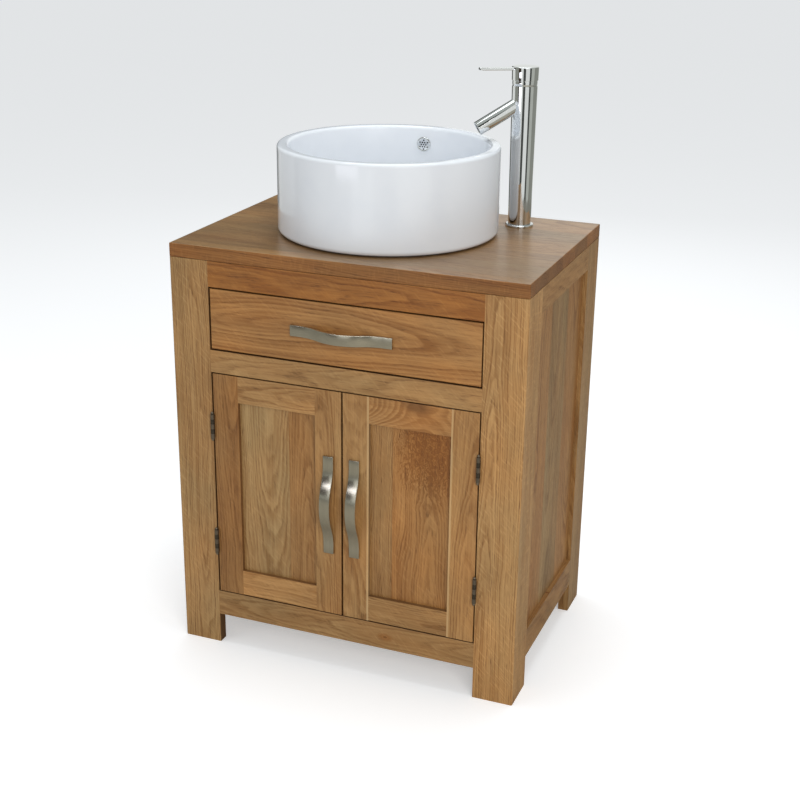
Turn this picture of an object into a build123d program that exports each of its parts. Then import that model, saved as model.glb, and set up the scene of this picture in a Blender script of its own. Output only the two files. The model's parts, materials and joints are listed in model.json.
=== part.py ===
from build123d import *
import os
from math import acos, degrees

# Vanity unit in solid oak with one drawer and two doors, a round vessel basin and a tall mixer tap.
# Millimetres. X runs to the right, Y to the back and Z up, with the origin on the floor under the
# middle of the whole object.

# ---- Cabinet ----
WIDTH = 660
DEPTH = 450
TOP_HEIGHT = 780
TOP_THICK = 25
BOARD = 20                  # thickness of the legs, rails and door frames
LEG = 75                    # width of each of a leg's two faces
FOOT = 60                   # clear height under the cabinet
DOOR_BOTTOM = 110
DOOR_TOP = 550
DRAWER_BOTTOM = 592
DRAWER_TOP = 708
SIDE_RAIL_LOW = 115         # upper edge of the lower side rail
SIDE_RAIL_HIGH = 710        # lower edge of the upper side rail
RECESS = 8                  # a panel's face lies this far inside its frame
PANEL_THICK = 10
TONGUE = 8                  # how far tongues and stub tenons reach into their grooves
TONGUE_THICK = 6
TENON = 15                  # rail tenons in the legs
TENON_THICK = 8
FLOOR_THICK = 16
BACK_THICK = 8
HOLE_HALF = 120             # service hole in the back panel, for the trap and supply hoses
HOLE_LOW = 520
HOLE_ROUND = 15
TOP_ROUND = 2               # rounded edges of the worktop
POST_ROUND = 2.5            # rounded outer corner of a leg
RAIL_ROUND = 1
SHOULDER = 8                # a rail's tenon is this much less high than the rail at each edge
BRACKET_PLACES = (120, 330)
BRACKET_WIDTH = 20
BRACKET_DROP = 22
BRACKET_REACH = 25
BRACKET_THICK = 2

# ---- Bow handles, three alike ----
STRAP_LENGTH = 190
STRAP_WIDTH = 20
STRAP_THICK = 5
STRAP_RISE = 19             # finger room behind the middle of the strap
STRAP_FLAT = 84             # the flat feet start this far from the middle
STRAP_BOLT = 80             # half the distance between the screws
STRAP_ROUND = 2             # rounded corners at the strap's ends
SCREW_R = 2
SCREW_BITE = 3.5            # how far a screw reaches into the strap
SCREW_HEAD_R = 4
SCREW_HEAD = 2.5
HANDLE_REACH = STRAP_RISE + STRAP_THICK

# ---- Frame of the whole part ----
FRONT = -(DEPTH + HANDLE_REACH) / 2 + HANDLE_REACH
BACK = FRONT + DEPTH
SIDE = WIDTH / 2
OPENING = SIDE - LEG        # half the width of the door and drawer openings
TOP_UNDER = TOP_HEIGHT - TOP_THICK

# ---- Doors and hinges ----
HINGE_GAP = 2.4
MEETING_GAP = 3
DOOR_CLEAR = 2
FRAME_WIDTH = 50
KNUCKLE_R = 3.6
HINGE_BORE_R = 1.65
HINGE_PIN_R = 1.6
HINGE_AHEAD = 3.8           # hinge axis in front of the cabinet's face
LEAF_THICK = 1.6
LEAF_DEPTH = 17
LEAF_HEIGHT = 47
HINGE_HEIGHTS = (216, 447)
HINGE_X = OPENING - HINGE_GAP / 2
HINGE_Y = FRONT - HINGE_AHEAD
HANDLE_X = 25               # door handles from the middle of the unit
HANDLE_HEIGHT = 331
KNUCKLES = 5
KNUCKLE_GAP = 0.15          # half the gap between two knuckles
LEAF_SET = 0.2              # a leaf's plate starts this far behind the cabinet's face
PIN_BALL_R = 2.6
DOOR_ROUND = 1.5
MAGNET_SPAN = (10, 36)      # from the middle of the unit
MAGNET_DEPTH = 22
MAGNET_HIGH = 20
STRIKE_THICK = 1.5

# ---- Drawer and its runners ----
DRAWER_SIDE = 251           # half the width over the drawer's sides
RUNNER_EDGE = 237           # half the width between the runners
DRAWER_WALL = 12
DRAWER_LOW = 600
DRAWER_HIGH = 690
DRAWER_DEPTH = 310          # from the back of the drawer front to the rear edge
DRAWER_PANEL = 6
NOTCH_HALF = 70
NOTCH_START = 165
DRAWER_GAP = 2.5            # round the drawer front, and beside the drawer's sides
FACE_ROUND = 2
GROOVE_LIFT = 6             # the drawer's bottom sits this far above its sides' lower edge
TAIL_PLACES = (22, 45, 75)  # dovetails, up from the sides' lower edge
TAIL_HALF = 7
TAIL_FLARE = 2
RUN_GAP = 0.3
LEDGE_THICK = 14
GUIDE_HIGH = 25
STOP_HIGH = 20
STOP_LONG = 15
KICKER_GAP = 2

# ---- Basin and waste ----
BASIN_X = -12
BASIN_Y = FRONT + 240
BASIN_R = 200
BASIN_HIGH = 160
RIM = 20
BASIN_LIFT = 2              # thickness of the gasket under the basin
FOOT_ROUND = 9              # where the wall meets the worktop
RIM_ROUND_OUT = 6
RIM_ROUND_IN = 7
BOWL_ROUND = 50             # where the wall meets the bowl's floor
GASKET_INSET = 2            # from the start of the foot's rounding
GASKET_WIDTH = 17
OVERFLOW_Z = 127
WASTE_R = 22
WASTE_FIT = 0.5
FLANGE_R = 33
FLANGE_THICK = 3
TAIL_END = -62              # lower end of the waste's tail
STEM_R = 4
BOWL_FLOOR = 24
WALL_TAPER = 8              # how much the bowl's inside narrows towards its floor
CHANNEL_R = 5               # overflow channel inside the wall
PLUG_R = 30
PLUG_TRAVEL = 9
OUTLET_DROP = 140           # trap outlet below the worktop's upper face
PIPE_R = 16
TRAP_TOP = -62.5            # heights under the worktop's upper face
TRAP_SHOULDER = -88
TRAP_LOW = -180
CUP_LOW = -209
BOTTLE_R = 29
TRAP_WALL = 3

# ---- Tap, in its own frame: X towards the spout's end, Z up from the worktop ----
TAP_X = 195
TAP_Y = FRONT + 375
TAP_TURN = 213
TAP_HIGH = 290
TAP_FOOT_R = 21
TAP_NECK_R = 23.2
TAP_NECK_Z = 256
TAP_PIVOT_Z = 262
DOME_R = 22.8
CAP_GAP = 0.4
CAP_R = 24
CAP_LOW = 266
SPOUT_R = 13
SPOUT_Z = 229.9             # where the spout's axis meets the body's axis
SPOUT_DROP = 30
SPOUT_LENGTH = 98.6
LEVER_REACH = 85.7
SHANK_R = 14
BASE_RING = 5               # height of the ring under the tap
SPOUT_BORE_R = 7
AERATOR_R = 10.5
CARTRIDGE_R = 16
NUT_THICK = 10
WASHER_THICK = 3
FIT = 0.05                  # running clearance on a radius

AROUND_BASIN = Pos(BASIN_X, BASIN_Y, TOP_HEIGHT)
AT_TAP = Pos(TAP_X, TAP_Y, TOP_HEIGHT) * Rot(0, 0, TAP_TURN)


# ---- Helpers ----
def block(x, y, z):
    """A box from its low and high edge along each axis."""
    spans = [sorted(span) for span in (x, y, z)]
    centre = [(low + high) / 2 for low, high in spans]
    return Pos(*centre) * Box(*[high - low for low, high in spans])


def deep(start, end):
    """A span along Y, measured back from the cabinet's front face."""
    return (FRONT + start, FRONT + end)


def both(low, high, side):
    """A span along X on one side: -1 is the left, 1 the right."""
    return (side * low, side * high)


def tube(outer, inner, low, high):
    """A round tube along Z."""
    height = high - low
    middle = Pos(0, 0, (low + high) / 2)
    return middle * Cylinder(outer, height) - middle * Cylinder(inner, height)


def rod(radius, low, high):
    """A round bar along Z."""
    return Pos(0, 0, (low + high) / 2) * Cylinder(radius, high - low)


def group(*parts):
    """Several solids kept apart in one node."""
    return Compound([solid for part in parts for solid in part.solids()])


def rounded(part, radius, test):
    """The part with the edges whose centre passes the test rounded."""
    return fillet(part.edges().filter_by(lambda edge: test(edge.center())), radius)


def turned(points, radii):
    """A solid of revolution about Z from an outline of radius and height."""
    outline = FilletPolyline(*points, radius=radii, close=True)
    return revolve(Plane.XZ * make_face(outline), Axis.Z)


# ---- Joinery shared by the frames ----
def tongued_panel(x, y, z, thin_axis, outside):
    """A flat panel with a thinner tongue on all four edges.

    The spans are those of the visible field. thin_axis is 0 or 1, and outside is the coordinate of
    the panel's outer face on that axis.
    """
    spans = [sorted(x), sorted(y), sorted(z)]
    inward = 1 if sum(spans[thin_axis]) / 2 > outside else -1
    tongue = [(low - TONGUE, high + TONGUE) for low, high in spans]
    tongue[thin_axis] = (outside, outside + inward * TONGUE_THICK)
    return block(*spans) + block(*tongue)


def cross_rail(low, high, at_back):
    """A rail between the two front legs or the two rear legs, with a tenon on each end."""
    outer_y = BACK if at_back else FRONT
    axis_y = BACK - BOARD / 2 if at_back else FRONT + BOARD / 2
    rail = block((-OPENING, OPENING), (axis_y - BOARD / 2, axis_y + BOARD / 2), (low, high))
    rail = rounded(rail, RAIL_ROUND, lambda c: abs(c.Y - outer_y) < 0.1 and abs(c.X) < 1)
    reach = OPENING + TENON
    half = TENON_THICK / 2
    tenon_z = (low + SHOULDER, high - SHOULDER)
    return rail + block((-reach, reach), (axis_y - half, axis_y + half), tenon_z)


# ---- Cabinet ----
def make_worktop():
    slab = block((-SIDE, SIDE), (FRONT, BACK), (TOP_UNDER, TOP_HEIGHT))
    slab = fillet(slab.edges(), TOP_ROUND)
    waste_hole = Pos(BASIN_X, BASIN_Y, TOP_HEIGHT) * Cylinder(WASTE_R + 2, 3 * TOP_THICK)
    tap_hole = Pos(TAP_X, TAP_Y, TOP_HEIGHT) * Cylinder(SHANK_R + 3.5, 3 * TOP_THICK)
    return slab - waste_hole - tap_hole


def make_rails():
    return {
        "front_top_rail": cross_rail(DRAWER_TOP, TOP_UNDER, False),
        "front_mid_rail": cross_rail(DOOR_TOP, DRAWER_BOTTOM, False),
        "front_bottom_rail": cross_rail(FOOT, DOOR_BOTTOM, False),
        "rear_rails": group(
            cross_rail(SIDE_RAIL_HIGH, TOP_UNDER, True),
            cross_rail(FOOT, DOOR_BOTTOM, True),
        ),
    }


def make_side_panel(side):
    outside = side * (SIDE - RECESS)
    x = (outside, outside - side * PANEL_THICK)
    field_z = (SIDE_RAIL_LOW, SIDE_RAIL_HIGH)
    return tongued_panel(x, deep(LEG, DEPTH - LEG), field_z, 0, outside)


def make_side_rails(side, panel):
    outer = SIDE - RECESS
    rails = []
    for z in ((FOOT, SIDE_RAIL_LOW), (SIDE_RAIL_HIGH, TOP_UNDER)):
        rail = block(both(SIDE - BOARD, SIDE, side), deep(LEG, DEPTH - LEG), z)
        tenon_y = deep(LEG - TONGUE, DEPTH - LEG + TONGUE)
        tenon = block(both(outer - TONGUE_THICK, outer, side), tenon_y, z)
        rails.append(rail + tenon - panel)
    return rails


def hinge_recess(side, inner, height):
    """The shallow pocket for one hinge leaf, from the given x outwards or inwards."""
    z = (height - LEAF_HEIGHT / 2, height + LEAF_HEIGHT / 2)
    return block(both(inner, inner + LEAF_THICK, side), deep(-1, LEAF_DEPTH), z)


def make_leg(side, at_back, joined):
    """An L-section post of two glued boards, cut for everything that is let into it."""
    face_y = deep(DEPTH - BOARD, DEPTH) if at_back else deep(0, BOARD)
    flank_y = deep(DEPTH - LEG, DEPTH - BOARD) if at_back else deep(BOARD, LEG)
    corner_y = BACK if at_back else FRONT
    face = block(both(OPENING, SIDE, side), face_y, (0, TOP_UNDER))
    face = rounded(face, POST_ROUND, lambda c: abs(c.X) > SIDE - 1 and abs(c.Y - corner_y) < 1)
    flank = block(both(SIDE - BOARD, SIDE, side), flank_y, (0, TOP_UNDER))
    for piece in joined:
        face = face - piece
        flank = flank - piece
    if not at_back:
        for height in HINGE_HEIGHTS:
            face = face - hinge_recess(side, OPENING, height)
    return group(face, flank)


def make_back_panel():
    panel = block((-SIDE + BOARD, SIDE - BOARD), deep(DEPTH - BOARD - BACK_THICK, DEPTH - BOARD),
                  (DOOR_BOTTOM, TOP_UNDER))
    cut = 3 * BOARD
    hole = block((BASIN_X - HOLE_HALF, BASIN_X + HOLE_HALF), deep(DEPTH - cut, DEPTH),
                 (HOLE_LOW, SIDE_RAIL_HIGH))
    return panel - rounded(hole, HOLE_ROUND, lambda c: abs(abs(c.X - BASIN_X) - HOLE_HALF) < 1 and
                           abs(c.Y - (BACK - cut / 2)) < 1)


def make_drawer_runners():
    """Ledges with side guides and rear stops, and the kickers over the drawer's sides."""
    pieces = []
    long = deep(BOARD, DEPTH - BOARD - BACK_THICK)
    rear = BOARD + DRAWER_DEPTH
    inner = SIDE - BOARD
    for side in (-1, 1):
        top = DRAWER_LOW - RUN_GAP
        ledge = block(both(RUNNER_EDGE, inner, side), long, (top - LEDGE_THICK, top))
        guide = block(both(DRAWER_SIDE + DRAWER_GAP, inner, side), long, (top, top + GUIDE_HIGH))
        stop = block(both(DRAWER_SIDE - DRAWER_WALL, DRAWER_SIDE + 3, side),
                     deep(rear + RUN_GAP, rear + STOP_LONG), (top, top + STOP_HIGH))
        over = DRAWER_HIGH + KICKER_GAP
        kicker = block(both(RUNNER_EDGE, inner, side), long, (over, over + LEDGE_THICK))
        pieces += [ledge + guide + stop, kicker]
    return group(*pieces)


def make_worktop_brackets():
    pieces = []
    inner = SIDE - BOARD
    for side in (-1, 1):
        for place in BRACKET_PLACES:
            y = deep(place - BRACKET_WIDTH / 2, place + BRACKET_WIDTH / 2)
            upright = block(both(inner - BRACKET_THICK, inner, side), y,
                            (TOP_UNDER - BRACKET_DROP, TOP_UNDER))
            flat = block(both(inner - BRACKET_REACH, inner, side), y,
                         (TOP_UNDER - BRACKET_THICK, TOP_UNDER))
            pieces.append(upright + flat)
    return group(*pieces)


# ---- Handles ----
def strap_edges(out):
    """The strap's outline at one face: a flat, a hollow arc, the crown, and the same again."""
    bend = ((STRAP_FLAT / 2) ** 2 + (STRAP_RISE / 2) ** 2) / STRAP_RISE
    sweep = degrees(acos(1 - STRAP_RISE / 2 / bend))
    return [
        Line((-STRAP_LENGTH / 2, out), (-STRAP_FLAT, out)),
        CenterArc((-STRAP_FLAT, bend), bend - out, 270, sweep),
        CenterArc((0, STRAP_RISE - bend), bend + out, 90 + sweep, -2 * sweep),
        CenterArc((STRAP_FLAT, bend), bend - out, 270 - sweep, sweep),
        Line((STRAP_FLAT, out), (STRAP_LENGTH / 2, out)),
    ]


def make_strap():
    """A bow handle in its own frame: X along it, Y outwards, centred on Z."""
    ends = [Line((x, 0), (x, STRAP_THICK)) for x in (-STRAP_LENGTH / 2, STRAP_LENGTH / 2)]
    face = make_face(strap_edges(0) + strap_edges(STRAP_THICK) + ends)
    strap = extrude(face, STRAP_WIDTH / 2, both=True)
    strap = rounded(strap, STRAP_ROUND, lambda c: abs(c.X) > STRAP_LENGTH / 2 - 1 and
                    abs(abs(c.Z) - STRAP_WIDTH / 2) < 0.1)
    for x in (-STRAP_BOLT, STRAP_BOLT):
        strap = strap - Pos(x, 0, 0) * Rot(90, 0, 0) * Cylinder(SCREW_R + FIT, 2 * SCREW_BITE + 0.2)
    return strap


def make_handle_screws():
    """Two machine screws from behind a board, in the handle's frame."""
    screws = []
    for x in (-STRAP_BOLT, STRAP_BOLT):
        shank = Cylinder(SCREW_R, BOARD + SCREW_BITE, align=(Align.CENTER, Align.CENTER, Align.MAX))
        head = Cylinder(SCREW_HEAD_R, SCREW_HEAD, align=(Align.CENTER, Align.CENTER, Align.MIN))
        slot = Pos(0, 0, SCREW_HEAD - 0.3) * Box(1.5 * SCREW_HEAD_R, 1, 1)
        screws.append(Pos(x, -BOARD, 0) * Rot(90, 0, 0) * (shank + head - slot))
    return group(*screws)


def screw_holes():
    holes = [Pos(x, -BOARD / 2, 0) * Rot(90, 0, 0) * Cylinder(SCREW_R + 0.25, 2 * BOARD)
             for x in (-STRAP_BOLT, STRAP_BOLT)]
    return holes[0] + holes[1]


def across(height):
    """The frame of a handle that lies across the front."""
    return Plane(origin=(0, FRONT, height), x_dir=(1, 0, 0), z_dir=(0, 0, -1)).location


def upright(x, height):
    """The frame of a handle that stands up the front."""
    return Plane(origin=(x, FRONT, height), x_dir=(0, 0, 1), z_dir=(1, 0, 0)).location


# ---- Hinges ----
def hinge_leaf(side, height, plate_x, rows):
    """One leaf: a plate in its pocket, and the knuckles in the given rows of five."""
    low = height - LEAF_HEIGHT / 2
    step = LEAF_HEIGHT / KNUCKLES
    x = both(plate_x, plate_x + LEAF_THICK, side)
    leaf = block(x, deep(LEAF_SET, LEAF_DEPTH), (low, low + LEAF_HEIGHT))
    for row in rows:
        z = (low + row * step + KNUCKLE_GAP, low + (row + 1) * step - KNUCKLE_GAP)
        web = block(x, (HINGE_Y, FRONT + LEAF_SET), z)
        knuckle = Pos(side * HINGE_X, HINGE_Y, 0) * rod(KNUCKLE_R, *z)
        leaf = leaf + web + knuckle
    bore = Pos(side * HINGE_X, HINGE_Y, 0) * rod(HINGE_BORE_R, low - 1, low + LEAF_HEIGHT + 1)
    return leaf - bore


def hinge_pin(side, height):
    """A pin with a small ball on each end."""
    half = LEAF_HEIGHT / 2
    pin = rod(HINGE_PIN_R, -half - 1, half + 1)
    for end in (-1, 1):
        pin = pin + Pos(0, 0, end * (half + PIN_BALL_R - 0.3)) * Sphere(PIN_BALL_R)
    return Pos(side * HINGE_X, HINGE_Y, height) * pin


# ---- Doors ----
def make_door(side):
    """One inset door: grooved stiles, stub-tenoned rails and a tongued panel."""
    outer = OPENING - HINGE_GAP
    inner = MEETING_GAP / 2
    low = DOOR_BOTTOM + DOOR_CLEAR
    high = DOOR_TOP - DOOR_CLEAR
    thick = deep(0, BOARD)
    middle = deep(RECESS, RECESS + TONGUE_THICK)
    field_x = both(inner + FRAME_WIDTH, outer - FRAME_WIDTH, side)
    field_z = (low + FRAME_WIDTH, high - FRAME_WIDTH)
    panel = tongued_panel(field_x, deep(RECESS, RECESS + PANEL_THICK), field_z, 1, FRONT + RECESS)
    tenon_x = both(inner + FRAME_WIDTH - TONGUE, outer - FRAME_WIDTH + TONGUE, side)
    rails = []
    for z, edge in (((low, field_z[0]), low), ((field_z[1], high), high)):
        rail = block(field_x, thick, z)
        rail = rounded(rail, DOOR_ROUND, lambda c, e=edge: abs(c.Z - e) < 0.1 and
                       abs(c.Y - FRONT) < 0.1)
        rails.append(rail + block(tenon_x, middle, z) - panel)
    stiles = []
    for x, edge in (((outer - FRAME_WIDTH, outer), outer), ((inner, inner + FRAME_WIDTH), inner)):
        stile = block(both(*x, side), thick, (low, high))
        stile = rounded(stile, DOOR_ROUND, lambda c, e=edge: abs(abs(c.X) - e) < 0.1 and
                        abs(c.Y - FRONT) < 0.1)
        stiles.append(stile - rails[0] - rails[1] - panel)
    for height in HINGE_HEIGHTS:
        stiles[0] = stiles[0] - hinge_recess(side, outer - LEAF_THICK, height)
    at_handle = upright(side * HANDLE_X, HANDLE_HEIGHT)
    stiles[1] = stiles[1] - at_handle * screw_holes()
    leaves = [hinge_leaf(side, height, outer - LEAF_THICK, (1, 3)) for height in HINGE_HEIGHTS]
    strike = block(both(MAGNET_SPAN[0] - 2, MAGNET_SPAN[1] + 2, side),
                   deep(BOARD, BOARD + STRIKE_THICK), (low + 1, low + MAGNET_HIGH - 3))
    name = "left_door_" if side < 0 else "right_door_"
    return {
        name + "stiles": group(*stiles),
        name + "rails": group(*rails),
        name + "panel": panel,
        name + "handle": at_handle * make_strap(),
        name + "handle_screws": at_handle * make_handle_screws(),
        name + "hinge_leaves": group(*leaves),
        name + "strike": strike,
    }


# ---- Drawer ----
def dovetails(side):
    """A drawer side with three tails on its front end."""
    y = deep(BOARD, BOARD + DRAWER_DEPTH)
    wall = block(both(DRAWER_SIDE - DRAWER_WALL, DRAWER_SIDE, side), y, (DRAWER_LOW, DRAWER_HIGH))
    root, tip = FRONT + BOARD, FRONT + BOARD - DRAWER_WALL
    wide = TAIL_HALF + TAIL_FLARE
    for place in TAIL_PLACES:
        centre = DRAWER_LOW + place
        corners = [(root, centre - TAIL_HALF), (root, centre + TAIL_HALF),
                   (tip, centre + wide), (tip, centre - wide)]
        tail = extrude(Plane.YZ * make_face(Polyline(*corners, close=True)), DRAWER_WALL)
        start = DRAWER_SIDE - DRAWER_WALL if side > 0 else -DRAWER_SIDE
        wall = wall + Pos(start, 0, 0) * tail
    return wall


def make_drawer():
    rear = BOARD + DRAWER_DEPTH
    inside = DRAWER_SIDE - DRAWER_WALL
    floor_z = (DRAWER_LOW + GROOVE_LIFT, DRAWER_LOW + GROOVE_LIFT + DRAWER_PANEL)
    wall_z = (floor_z[1], DRAWER_HIGH)
    notch = (BASIN_X - NOTCH_HALF, BASIN_X + NOTCH_HALF)
    tongue = DRAWER_WALL / 2
    bottom = block((-inside - tongue, inside + tongue), deep(BOARD - tongue, rear), floor_z)
    bottom = bottom - block(notch, deep(NOTCH_START, rear + 10), (DRAWER_LOW, DRAWER_HIGH))
    sides = [dovetails(side) - bottom for side in (-1, 1)]
    edge = OPENING - DRAWER_GAP
    face_z = (DRAWER_BOTTOM + DRAWER_GAP, DRAWER_TOP - DRAWER_GAP)
    face = block((-edge, edge), deep(0, BOARD), face_z)
    face = rounded(face, FACE_ROUND, lambda c: abs(c.Y - FRONT) < 0.1)
    at_handle = across((DRAWER_BOTTOM + DRAWER_TOP) / 2)
    face = face - bottom - sides[0] - sides[1] - at_handle * screw_holes()
    walls = [
        block((notch[0] - DRAWER_WALL, notch[0]), deep(NOTCH_START - DRAWER_WALL, rear), wall_z),
        block((notch[1], notch[1] + DRAWER_WALL), deep(NOTCH_START - DRAWER_WALL, rear), wall_z),
        block(notch, deep(NOTCH_START - DRAWER_WALL, NOTCH_START), wall_z),
        block((-inside, notch[0] - DRAWER_WALL), deep(rear - DRAWER_WALL, rear), wall_z),
        block((notch[1] + DRAWER_WALL, inside), deep(rear - DRAWER_WALL, rear), wall_z),
    ]
    return {
        "drawer_front": face,
        "drawer_sides": group(*sides),
        "drawer_inner_walls": group(*walls),
        "drawer_bottom": bottom,
        "drawer_handle": at_handle * make_strap(),
        "drawer_handle_screws": at_handle * make_handle_screws(),
    }


# ---- Basin ----
def make_overflow_ring():
    """A pressed cover with six round holes, on a short tube, its axis along Z."""
    ring = rod(14, 0, 3) + tube(9, 8, -8, 0)
    ring = rounded(ring, 1.2, lambda c: abs(c.Z - 3) < 0.1)
    for turn in range(0, 360, 60):
        ring = ring - Rot(0, 0, turn) * Pos(5.2, 0, 1) * Cylinder(1.9, 6)
    return ring


def make_basin():
    wall_r = BASIN_R - RIM
    hole_r = WASTE_R + WASTE_FIT
    seat_r = FLANGE_R + WASTE_FIT
    seat_z = BOWL_FLOOR - FLANGE_THICK
    outline = [
        (hole_r, BASIN_LIFT), (BASIN_R, BASIN_LIFT), (BASIN_R, BASIN_HIGH),
        (wall_r, BASIN_HIGH), (wall_r - WALL_TAPER, BOWL_FLOOR + 8), (FLANGE_R + 3, BOWL_FLOOR),
        (seat_r, BOWL_FLOOR), (seat_r, seat_z), (hole_r, seat_z),
    ]
    bowl = turned(outline, [0, FOOT_ROUND, RIM_ROUND_OUT, RIM_ROUND_IN, BOWL_ROUND, 0, 0, 0, 0])
    channel_at = BASIN_R - 10
    floor_z = 12.5
    lip = wall_r - WALL_TAPER * (BASIN_HIGH - OVERFLOW_Z) / (BASIN_HIGH - BOWL_FLOOR - 8)
    mouth = Rot(90, 0, 0) * Cylinder(9, channel_at - lip + 2)
    mouth = Pos(0, (lip + channel_at) / 2, OVERFLOW_Z) * mouth
    down = Pos(0, channel_at, 0) * rod(CHANNEL_R, floor_z, OVERFLOW_Z)
    under = Rot(90, 0, 0) * Cylinder(CHANNEL_R, channel_at - 16)
    under = Pos(0, channel_at / 2 + 8, floor_z) * under
    ring = Pos(0, lip - 0.6, OVERFLOW_Z) * Rot(90, 0, 0) * make_overflow_ring()
    bowl = bowl - mouth - down - under - ring
    gasket_r = BASIN_R - FOOT_ROUND - GASKET_INSET
    return {
        "basin_bowl": AROUND_BASIN * bowl,
        "overflow_ring": AROUND_BASIN * ring,
        "basin_gasket": AROUND_BASIN * tube(gasket_r, gasket_r - GASKET_WIDTH, 0, BASIN_LIFT),
    }


def make_waste():
    seat_z = BOWL_FLOOR - FLANGE_THICK
    flange = rounded(rod(FLANGE_R, seat_z, BOWL_FLOOR), 1, lambda c: c.Z > BOWL_FLOOR - 0.1)
    body = flange + rod(WASTE_R, TAIL_END, seat_z)
    body = body - rod(WASTE_R - 4.5, TAIL_END - 1, BOWL_FLOOR + 1)
    body = body - block((-7, 7), (10, 30), (8, 17))
    bridge = block((-18.5, 18.5), (-2.5, 2.5), (-8, -4)) + block((-2.5, 2.5), (-18.5, 18.5), (-8, -4))
    bridge = bridge + rod(7, -12, 0)
    body = body + bridge - rod(STEM_R + FIT, -13, 1)
    seat = BOWL_FLOOR + CAP_GAP + PLUG_TRAVEL
    plug_face = [(0, seat), (PLUG_R, seat), (PLUG_R, seat + 2.5), (14, seat + 5.5), (0, seat + 6)]
    plug = turned(plug_face, [0, 0.6, 1.5, 12, 0])
    plug = plug + rod(STEM_R, -24, seat + 1) + rod(6, -26, -22)
    under = -TOP_THICK
    nut_r = WASTE_R + 13
    hexagon = Pos(0, 0, under - WASHER_THICK - NUT_THICK) * extrude(RegularPolygon(nut_r, 6), NUT_THICK)
    nut = rod(nut_r, under - WASHER_THICK, under) + hexagon - rod(WASTE_R + FIT, under - 20, under + 1)
    return {
        "waste_body": AROUND_BASIN * body,
        "waste_plug": AROUND_BASIN * plug,
        "waste_backnut": AROUND_BASIN * nut,
    }


def ribbed(part, radius, low, high, count):
    """A round part with small grip ribs along Z."""
    for number in range(count):
        rib = block((radius - 1, radius + 1.5), (-1.5, 1.5), (low + 1, high - 1))
        part = part + Rot(0, 0, number * 360 / count) * rib
    return part


def make_trap():
    """A bottle trap: dip tube, bottle with side arm, screw cup and two union nuts."""
    bottle_bore = BOTTLE_R - TRAP_WALL
    body = tube(22, 18, TRAP_SHOULDER, TRAP_TOP)
    body = body + tube(BOTTLE_R, 15.5, TRAP_SHOULDER, TRAP_SHOULDER + TRAP_WALL)
    body = body + tube(BOTTLE_R, bottle_bore, TRAP_LOW, TRAP_SHOULDER + 1)
    body = body + tube(18, 15.5, TRAP_LOW + 12, TRAP_SHOULDER + 1)
    arm = Pos(0, 0, -OUTLET_DROP) * Rot(-90, 0, 0) * rod(19, 26.5, 58)
    arm_bore = Pos(0, 0, -OUTLET_DROP) * Rot(-90, 0, 0) * rod(14.5, 20, 60)
    body = body + arm - arm_bore
    cup_r = BOTTLE_R + TRAP_WALL
    cup = tube(cup_r, BOTTLE_R + FIT, CUP_LOW + 4, TRAP_LOW + 10) + rod(cup_r, CUP_LOW, CUP_LOW + 4)
    cup = rounded(cup, 3, lambda c: c.Z < CUP_LOW + 0.1)
    cup = ribbed(cup, cup_r, CUP_LOW + 7, TRAP_LOW + 8, 12)
    inlet_nut = ribbed(tube(28, WASTE_R + FIT, -74, -52), 28, -74, -52, 10)
    pipe_end = BACK - BASIN_Y
    outlet = Pos(0, 0, -OUTLET_DROP) * Rot(-90, 0, 0)
    pipe = rod(PIPE_R - 0.2, 58.5, 75) + rod(PIPE_R, 75, pipe_end)
    pipe = pipe - rod(PIPE_R - 1.5, 50, pipe_end + 1)
    outlet_nut = rod(25, 48, 72) - rod(19 + FIT, 47, 60) - rod(PIPE_R + FIT, 59, 73)
    outlet_nut = ribbed(outlet_nut, 25, 48, 72, 10)
    return {
        "trap_body": AROUND_BASIN * body,
        "trap_cup": AROUND_BASIN * cup,
        "trap_nuts": AROUND_BASIN * group(inlet_nut, outlet * outlet_nut),
        "trap_outlet_pipe": AROUND_BASIN * outlet * pipe,
    }


# ---- Tap ----
def make_tap_body():
    """A slightly flared column with a ball-shaped neck under the cap."""
    column = Pos(0, 0, (BASE_RING + TAP_NECK_Z) / 2) * Cone(TAP_FOOT_R, TAP_NECK_R, TAP_NECK_Z - BASE_RING)
    neck = Pos(0, 0, TAP_PIVOT_Z) * Sphere(DOME_R) & rod(40, TAP_NECK_Z - 1, TAP_PIVOT_Z + 12)
    envelope = column + neck
    body = envelope - rod(SHANK_R + FIT, 0, 20) - rod(16, 26, 204)
    body = body - rod(18, 212, TAP_NECK_Z) - rod(14.5, TAP_NECK_Z - 1, 280)
    spout_axis = Pos(0, 0, SPOUT_Z) * Rot(0, 90 + SPOUT_DROP, 0)
    body = body - spout_axis * rod(SPOUT_BORE_R, 16, 40)
    spout = spout_axis * rod(SPOUT_R, 12, SPOUT_LENGTH)
    tip = spout_axis * Pos(0, 0, SPOUT_LENGTH)
    spout = spout - envelope - spout_axis * rod(SPOUT_BORE_R, 10, 40)
    spout = spout - spout_axis * rod(AERATOR_R, 32, SPOUT_LENGTH + 1)
    aerator = rod(AERATOR_R - 0.1, -11, -1) - rod(AERATOR_R - 1.9, -2, 0)
    return {
        "tap_base_ring": rounded(tube(26, SHANK_R + 0.5, 0, BASE_RING), 2, lambda c: c.Z > BASE_RING - 0.1),
        "tap_body": body,
        "tap_spout": spout,
        "tap_aerator": tip * aerator,
        "tap_cartridge": rod(CARTRIDGE_R, 212.5, 246) + rod(CARTRIDGE_R + 1.8, 212.5, 216),
    }


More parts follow.
